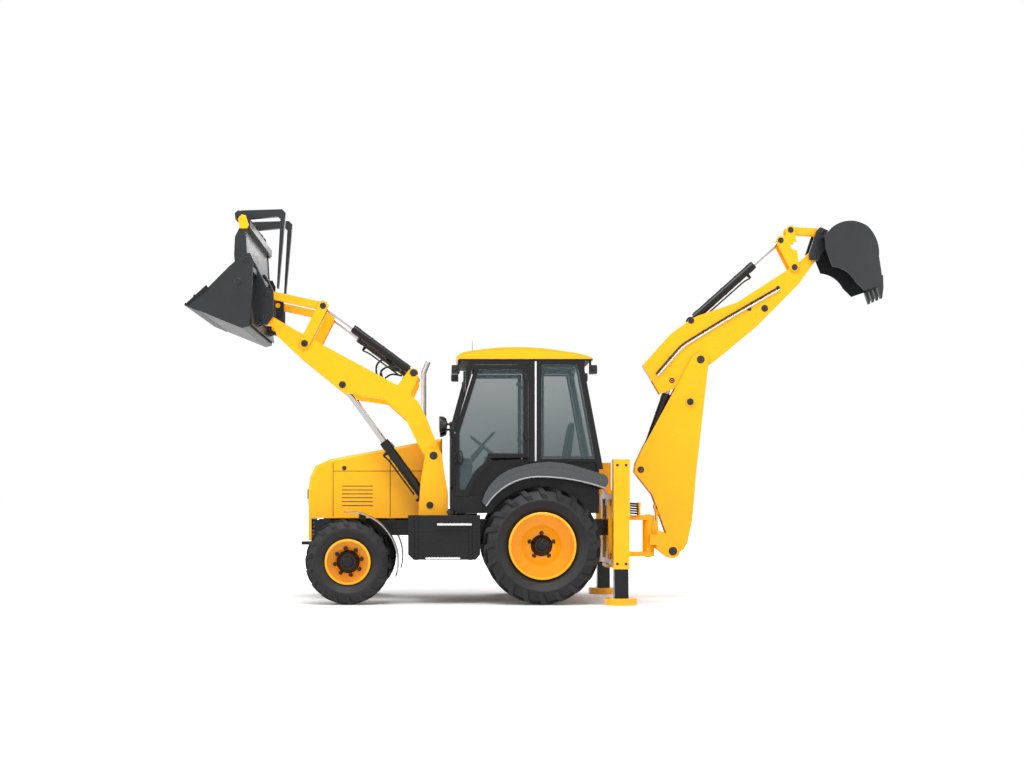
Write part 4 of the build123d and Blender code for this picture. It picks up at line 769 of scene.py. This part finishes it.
def roof_trim():
    """The aerial, the lining, the roof's dark gutters and the grab rails on the front posts."""
    aerial = Piece("aerial", "machine", BLACK, "black_paint")
    aerial.turned((-0.770, -0.40, 2.862), ALONG_Z, (
        (0.0, 0.020), (0.010, 0.018), (0.024, 0.006), (0.030, 0.003), (0.150, 0.002),
        (0.150, 0.0),
    ), 16)
    aerial.done()
    lining = Piece("roof_lining", "machine", TRIM, "cab_trim")
    lining.box(-0.940, 0.580, -0.735, 0.735, 2.757, 2.7635, 0.001)
    lining.done()
    for side, s in SIDES:
        gutter = Piece(f"roof_gutter_{side}", "machine", BLACK, "black_paint")
        gutter.box(-0.930, 0.590, s * 0.745, s * 0.766, 2.752, 2.772, 0.003)
        gutter.done()
        rail = Piece(f"grab_rail_{side}", "machine", BLACK, "black_paint")
        rail.pipe(((-1.008, s * 0.764, 1.30), (-1.012, s * 0.800, 1.33),
                   (-1.012, s * 0.800, 1.85), (-1.008, s * 0.764, 1.88)), 0.011, bend=0.04)
        rail.done()


# ---------------------------------------------------------------- seat
CUSHION_STEPS = 18
CUSHION_OUTLINE = (
    (-0.085, 1.435), (0.10, 1.425), (0.32, 1.43), (0.325, 1.50), (0.28, 1.518), (0.08, 1.508),
    (-0.06, 1.515), (-0.088, 1.49),
)
BACKREST_OUTLINE = (
    (0.290, 1.53), (0.365, 1.53), (0.405, 1.75), (0.440, 2.05), (0.430, 2.075), (0.385, 2.08),
    (0.360, 1.98), (0.315, 1.72),
)


def cushion(name, outline, half, swell):
    """A crowned pad: a side-view outline, lofted across, that pulls in at its ends."""
    piece = Piece(name, "machine", CLOTH, "seat_fabric", sharp=80)
    middle = Vector((sum(p[0] for p in outline) / len(outline),
                     sum(p[1] for p in outline) / len(outline)))
    rings = []
    for k in range(CUSHION_STEPS + 1):
        t = -1.0 + 2.0 * k / CUSHION_STEPS
        shrink = 1.0 - 0.20 * abs(t) ** 6
        channel = 1.0 - 0.05 * math.exp(-((abs(t) - 0.58) / 0.035) ** 2)
        crown = 1 + swell * (1 - t * t)
        rings.append(piece.ring([
            (middle.x + (x - middle.x) * shrink * channel * crown, t * half,
             middle.y + (z - middle.y) * shrink * channel * crown)
            for x, z in outline
        ]))
    piece.skin(rings)
    obj = piece.done()
    smooth = obj.modifiers.new("smooth", "SUBSURF")
    smooth.levels = smooth.render_levels = 2
    return obj


def seat():
    """The driver's seat: a cushion and a backrest, with piping along their edges."""
    pad = cushion("seat_cushion", CUSHION_OUTLINE, 0.225, 0.02)
    cushion("seat_backrest", BACKREST_OUTLINE, 0.205, 0.03)
    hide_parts("seat")
    piping = Piece("seat_piping", "machine", GRIP, "seat_fabric")
    for _, s in SIDES:
        piping.pipe([(0.292, s * 0.192, 1.54), (0.318, s * 0.200, 1.72),
                     (0.362, s * 0.200, 1.97), (0.388, s * 0.180, 2.075)], 0.005, 8)
        piping.pipe([(-0.082, s * 0.200, 1.492), (0.08, s * 0.212, 1.512),
                     (0.27, s * 0.205, 1.519)], 0.005, 8)
    piping.done()


# ---------------------------------------------------------------- tools
EDGE_BOLTS = 9
EDGE_BOLT_SPAN = 2.1


def tool_trim():
    """The shovel's cutting edge with its bolts, side cutters, bosses and marker plates."""
    edge = Piece("shovel_cutting_edge", "clam", WORN, "charcoal_paint")
    edge.prism([(-3.982, 3.337), (-3.976, 3.352), (-3.86, 3.308), (-3.80, 3.282),
                (-3.83, 3.272)], -1.168, 1.168, 0.002)
    edge.done()
    bolts = Piece("shovel_edge_bolts", "clam", ZINC, "charcoal_paint")
    for i in range(EDGE_BOLTS):
        y = -EDGE_BOLT_SPAN / 2 + EDGE_BOLT_SPAN * i / (EDGE_BOLTS - 1)
        bolts.bolt((-3.90, y, 3.321), (0.35, 0, 0.94), 0.030)
    bolts.done()
    for side, s in SIDES:
        cutter = Piece(f"side_cutter_{side}", "clam", BLACK, "charcoal_paint")
        cutter.prism([(-3.968, 3.347), (-3.93, 3.335), (-3.70, 3.515), (-3.735, 3.560),
                      (-3.80, 3.50)], s * 1.166, s * 1.181, 0.003)
        for x, z in ((-3.86, 3.435), (-3.77, 3.505)):
            cutter.bolt((x, s * 1.180, z), (0, s, 0), 0.026)
        cutter.done()
        boss = Piece(f"shovel_bosses_{side}", "clam", CHARCOAL, "charcoal_paint")
        boss.turned((-3.385, s * 1.172, 3.60), (0, s, 0), (
            (0.0, 0.040), (0.007, 0.040), (0.010, 0.035), (0.010, 0.020), (0.004, 0.0),
        ))
        boss.done()
        marker = Piece(f"marker_plate_{side}", "shovel", YELLOW, "yellow_paint")
        marker.prism([(-3.285, 4.19), (-3.262, 4.225), (-3.30, 4.335), (-3.345, 4.345),
                      (-3.385, 4.30), (-3.365, 4.19)], s * 1.142, s * 1.156, 0.003)
        marker.bolt((-3.355, s * 1.156, 4.305), (0, s, 0), 0.022)
        marker.done()


# ---------------------------------------------------------------- oil lines
DIPPER_LINE_Y = 0.080
DIPPER_LINE_R = 0.0095
DIPPER_LINE_PITCH = 0.03
# on the dipper's side: x, z, radius
DIPPER_PLUGS = (
    (2.838, 3.669, 0.022), (2.681, 3.427, 0.040), (2.499, 3.422, 0.026), (2.646, 3.539, 0.022),
)


def dipper_line(name, y, points, clips, mat):
    """A clipped steel pipe through (along, up) points, from the boom's head to the bucket."""
    origin = at(BOOM_HEAD, y)
    run = (at(BUCKET_PIVOT, 0) - at(BOOM_HEAD, 0)).normalized()
    up = Vector((-run.z, 0, run.x))
    radius, clip = DIPPER_LINE_R, DIPPER_LINE_R + 0.004
    piece = Piece(name, "dipper", mat, "black_paint")
    piece.pipe([origin + run * u + up * v for u, v in points], radius, bend=0.08)
    for u, v in clips:
        start = origin + run * u + up * v - run * 0.012
        piece.turned(start, run, ((0.0, radius), (0.0, clip), (0.024, clip), (0.024, radius)), 16)
    piece.done()


def oil_lines():
    """Steel lines clipped to the dipper's sides, and its plugs."""
    for side, s in SIDES:
        plugs = Piece(f"dipper_plugs_{side}", "dipper", ZINC, "black_paint")
        for x, z, size in DIPPER_PLUGS:
            plugs.turned((x, s * 0.066, z), (0, s, 0), (
                (0.0, size), (0.008, size), (0.010, size * 0.8), (0.010, size * 0.4),
                (0.016, size * 0.35), (0.016, 0.0),
            ), 20)
        plugs.done()
        for k, mat in enumerate((STEEL, BLACK)):
            lift = DIPPER_LINE_PITCH * k
            points = ((-0.50, 0.20), (-0.05, 0.25), (0.55, 0.13), (1.25, -0.03))
            clips = ((-0.25, 0.228), (0.25, 0.19), (0.90, 0.05))
            dipper_line(f"dipper_line_{side}_{k}", s * DIPPER_LINE_Y,
                        [(u, v + lift) for u, v in points],
                        [(u, v + lift) for u, v in clips], mat)


SLEW_PIPES = 5
FORMED_PIPE_R = 0.0115
# |y| and the (x, z) points of each loop under a tilt ram
FEED_LOOPS = (
    (0.562, ((-1.672, 2.733), (-1.790, 2.795), (-1.872, 2.730), (-1.878, 2.640),
             (-1.845, 2.530))),
    (0.598, ((-1.610, 2.680), (-1.740, 2.705), (-1.822, 2.650), (-1.812, 2.600),
             (-1.790, 2.510))),
)


def formed_pipes():
    """Formed steel pipes: the slew post's bundle and the loops under the tilt rams."""
    bundle = Piece("slew_oil_pipes", "carriage", BLACK, "black_paint")
    for i in range(SLEW_PIPES):
        y, z = -0.18 + 0.020 * i, 1.008 + 0.028 * i
        bundle.pipe(((0.955, y, z), (1.08, y - 0.015, z + 0.008), (1.185, y, z)),
                    FORMED_PIPE_R)
        bundle.turned((1.168, y, z), ALONG_X, ((0.0, 0.0135), (0.022, 0.0135), (0.022, 0.0)), 6)
    bundle.done()
    block = Piece("slew_pipe_block", "carriage", YELLOW, "yellow_paint")
    block.box(1.180, 1.205, -0.205, 0.0, 0.985, 1.140, 0.005)
    block.done()
    for side, s in SIDES:
        loops = Piece(f"tilt_feed_pipes_{side}", "loader_arms", BLACK, "black_paint")
        for y, points in FEED_LOOPS:
            loops.pipe([(x, s * y, z) for x, z in points], FORMED_PIPE_R, 12, 0.07)
        loops.done()


def pads():
    """The stabilisers' painted feet, and the bolts on their columns."""
    for side, s in SIDES:
        foot = Piece(f"stabiliser_foot_{side}", f"leg_{side}", YELLOW, "yellow_paint")
        foot.turned((COLUMN_X, s * COLUMN_Y, 0.0), ALONG_Z, (
            (0.001, 0.120), (0.001, 0.1815), (0.071, 0.1815), (0.0745, 0.178), (0.0745, 0.090),
        ), 48)
        foot.done()
        fixings = Piece(f"column_fixings_{side}", "machine", ZINC, "black_paint")
        for z in (0.46, 1.56):
            for x in (COLUMN_X - 0.048, COLUMN_X + 0.048):
                fixings.bolt((x, s * 1.109, z), (0, s, 0), 0.022)
        fixings.done()


# ---------------------------------------------------------------- stage
WHITE = (1.0, 1.0, 1.0, 1.0)
FLOOR_GREY = (0.93, 0.93, 0.935, 1.0)
FLOOR_HALF = 140.0
FLOOR_FADE = (5.0, 11.0)  # from the origin: the floor as lit, and plain white
SKY_DARK, SKY_BRIGHT = 0.16, 1.1
SKY_TOP = 0.75
# name, place, target, width, height, watts
LIGHTS = (
    ("key_above", (-1.5, -6.0, 11.0), (0.0, 0.0, 1.2), 9.0, 5.0, 900.0),
    ("fill_front", (-11.0, -7.0, 5.0), (-1.0, 0.0, 1.5), 5.0, 5.0, 330.0),
    ("fill_rear", (10.0, -9.0, 5.5), (1.5, 0.0, 1.5), 5.0, 5.0, 300.0),
    ("back_soft", (1.0, 9.0, 9.0), (0.0, 0.0, 1.0), 8.0, 8.0, 420.0),
)
SENSOR_MM = 36.0
LENS_MM = 56.3203125
CAMERA_SHIFT = (0.0634765625, 0.1064453125)
CAMERA_PLACE = (-1.063, -18.95, 1.25)


def ground():
    """A pale floor that keeps the object's shadow and turns plain white far out."""
    mat, nodes, links, shader, coords = tree("studio_floor")
    dial(shader, Base_Color=FLOOR_GREY, Roughness=0.75, Emission_Color=WHITE)
    reach = nodes.new("ShaderNodeVectorMath")
    reach.operation = "LENGTH"
    links.new(coords, reach.inputs[0])
    far = spread(nodes, links, reach.outputs["Value"], 0.0, 1.0, FLOOR_FADE)
    rays = nodes.new("ShaderNodeLightPath")
    white_out = combine(nodes, links, "MULTIPLY", far, rays.outputs["Is Camera Ray"])
    links.new(white_out, shader.inputs["Emission Strength"])
    mesh = bpy.data.meshes.new("floor")
    r = FLOOR_HALF
    mesh.from_pydata([(-r, -r, 0), (r, -r, 0), (r, r, 0), (-r, r, 0)], [], [(0, 1, 2, 3)])
    mesh.materials.append(mat)
    floor = placed("floor", mesh)
    floor.visible_glossy = False


def surround():
    """White where it is seen straight, in gloss or through glass, and a soft sky for light."""
    world = bpy.data.worlds.new("studio")
    world.use_nodes = True
    bpy.context.scene.world = world
    nodes, links = world.node_tree.nodes, world.node_tree.links
    nodes.clear()
    coords = nodes.new("ShaderNodeTexCoord")
    split = nodes.new("ShaderNodeSeparateXYZ")
    links.new(coords.outputs["Generated"], split.inputs[0])
    height = spread(nodes, links, split.outputs["Z"], SKY_DARK, SKY_BRIGHT, (0.0, SKY_TOP))
    sky = nodes.new("ShaderNodeBackground")
    dial(sky, Color=WHITE)
    links.new(height, sky.inputs["Strength"])
    white = nodes.new("ShaderNodeBackground")
    dial(white, Color=WHITE, Strength=1.0)
    rays = nodes.new("ShaderNodeLightPath").outputs
    seen = combine(nodes, links, "MAXIMUM", rays["Is Camera Ray"], rays["Is Transmission Ray"])
    seen = combine(nodes, links, "MAXIMUM", seen, rays["Is Glossy Ray"])
    mix = nodes.new("ShaderNodeMixShader")
    links.new(seen, mix.inputs["Fac"])
    links.new(sky.outputs[0], mix.inputs[1])
    links.new(white.outputs[0], mix.inputs[2])
    out = nodes.new("ShaderNodeOutputWorld")
    links.new(mix.outputs[0], out.inputs["Surface"])


def lights():
    """Soft rectangular lamps, each turned to its target."""
    for name, place, target, width, height, watts in LIGHTS:
        data = bpy.data.lights.new(name, "AREA")
        data.shape = "RECTANGLE"
        data.size, data.size_y, data.energy = width, height, watts
        obj = placed(name, data)
        obj.location = place
        aim = Vector(target) - Vector(place)
        obj.rotation_euler = aim.to_track_quat("-Z", "Y").to_euler()


def camera():
    """Level, square to the left side, with the horizon below the middle."""
    data = bpy.data.cameras.new("camera")
    data.sensor_width = SENSOR_MM
    data.lens = LENS_MM
    data.shift_x, data.shift_y = CAMERA_SHIFT
    data.clip_end = 400.0
    obj = placed("camera", data)
    obj.location = CAMERA_PLACE
    obj.rotation_euler = (math.pi / 2, 0.0, 0.0)
    bpy.context.scene.camera = obj


for build in (
    pin_caps, wheels, ram_fittings, body_trim, fender_sides, radiator, headlamps, controls,
    cab_sides, roof_trim, seat, tool_trim, oil_lines, formed_pipes, pads,
    ground, surround, lights, camera,
):
    build()
bpy.context.scene.view_settings.view_transform = "Standard"
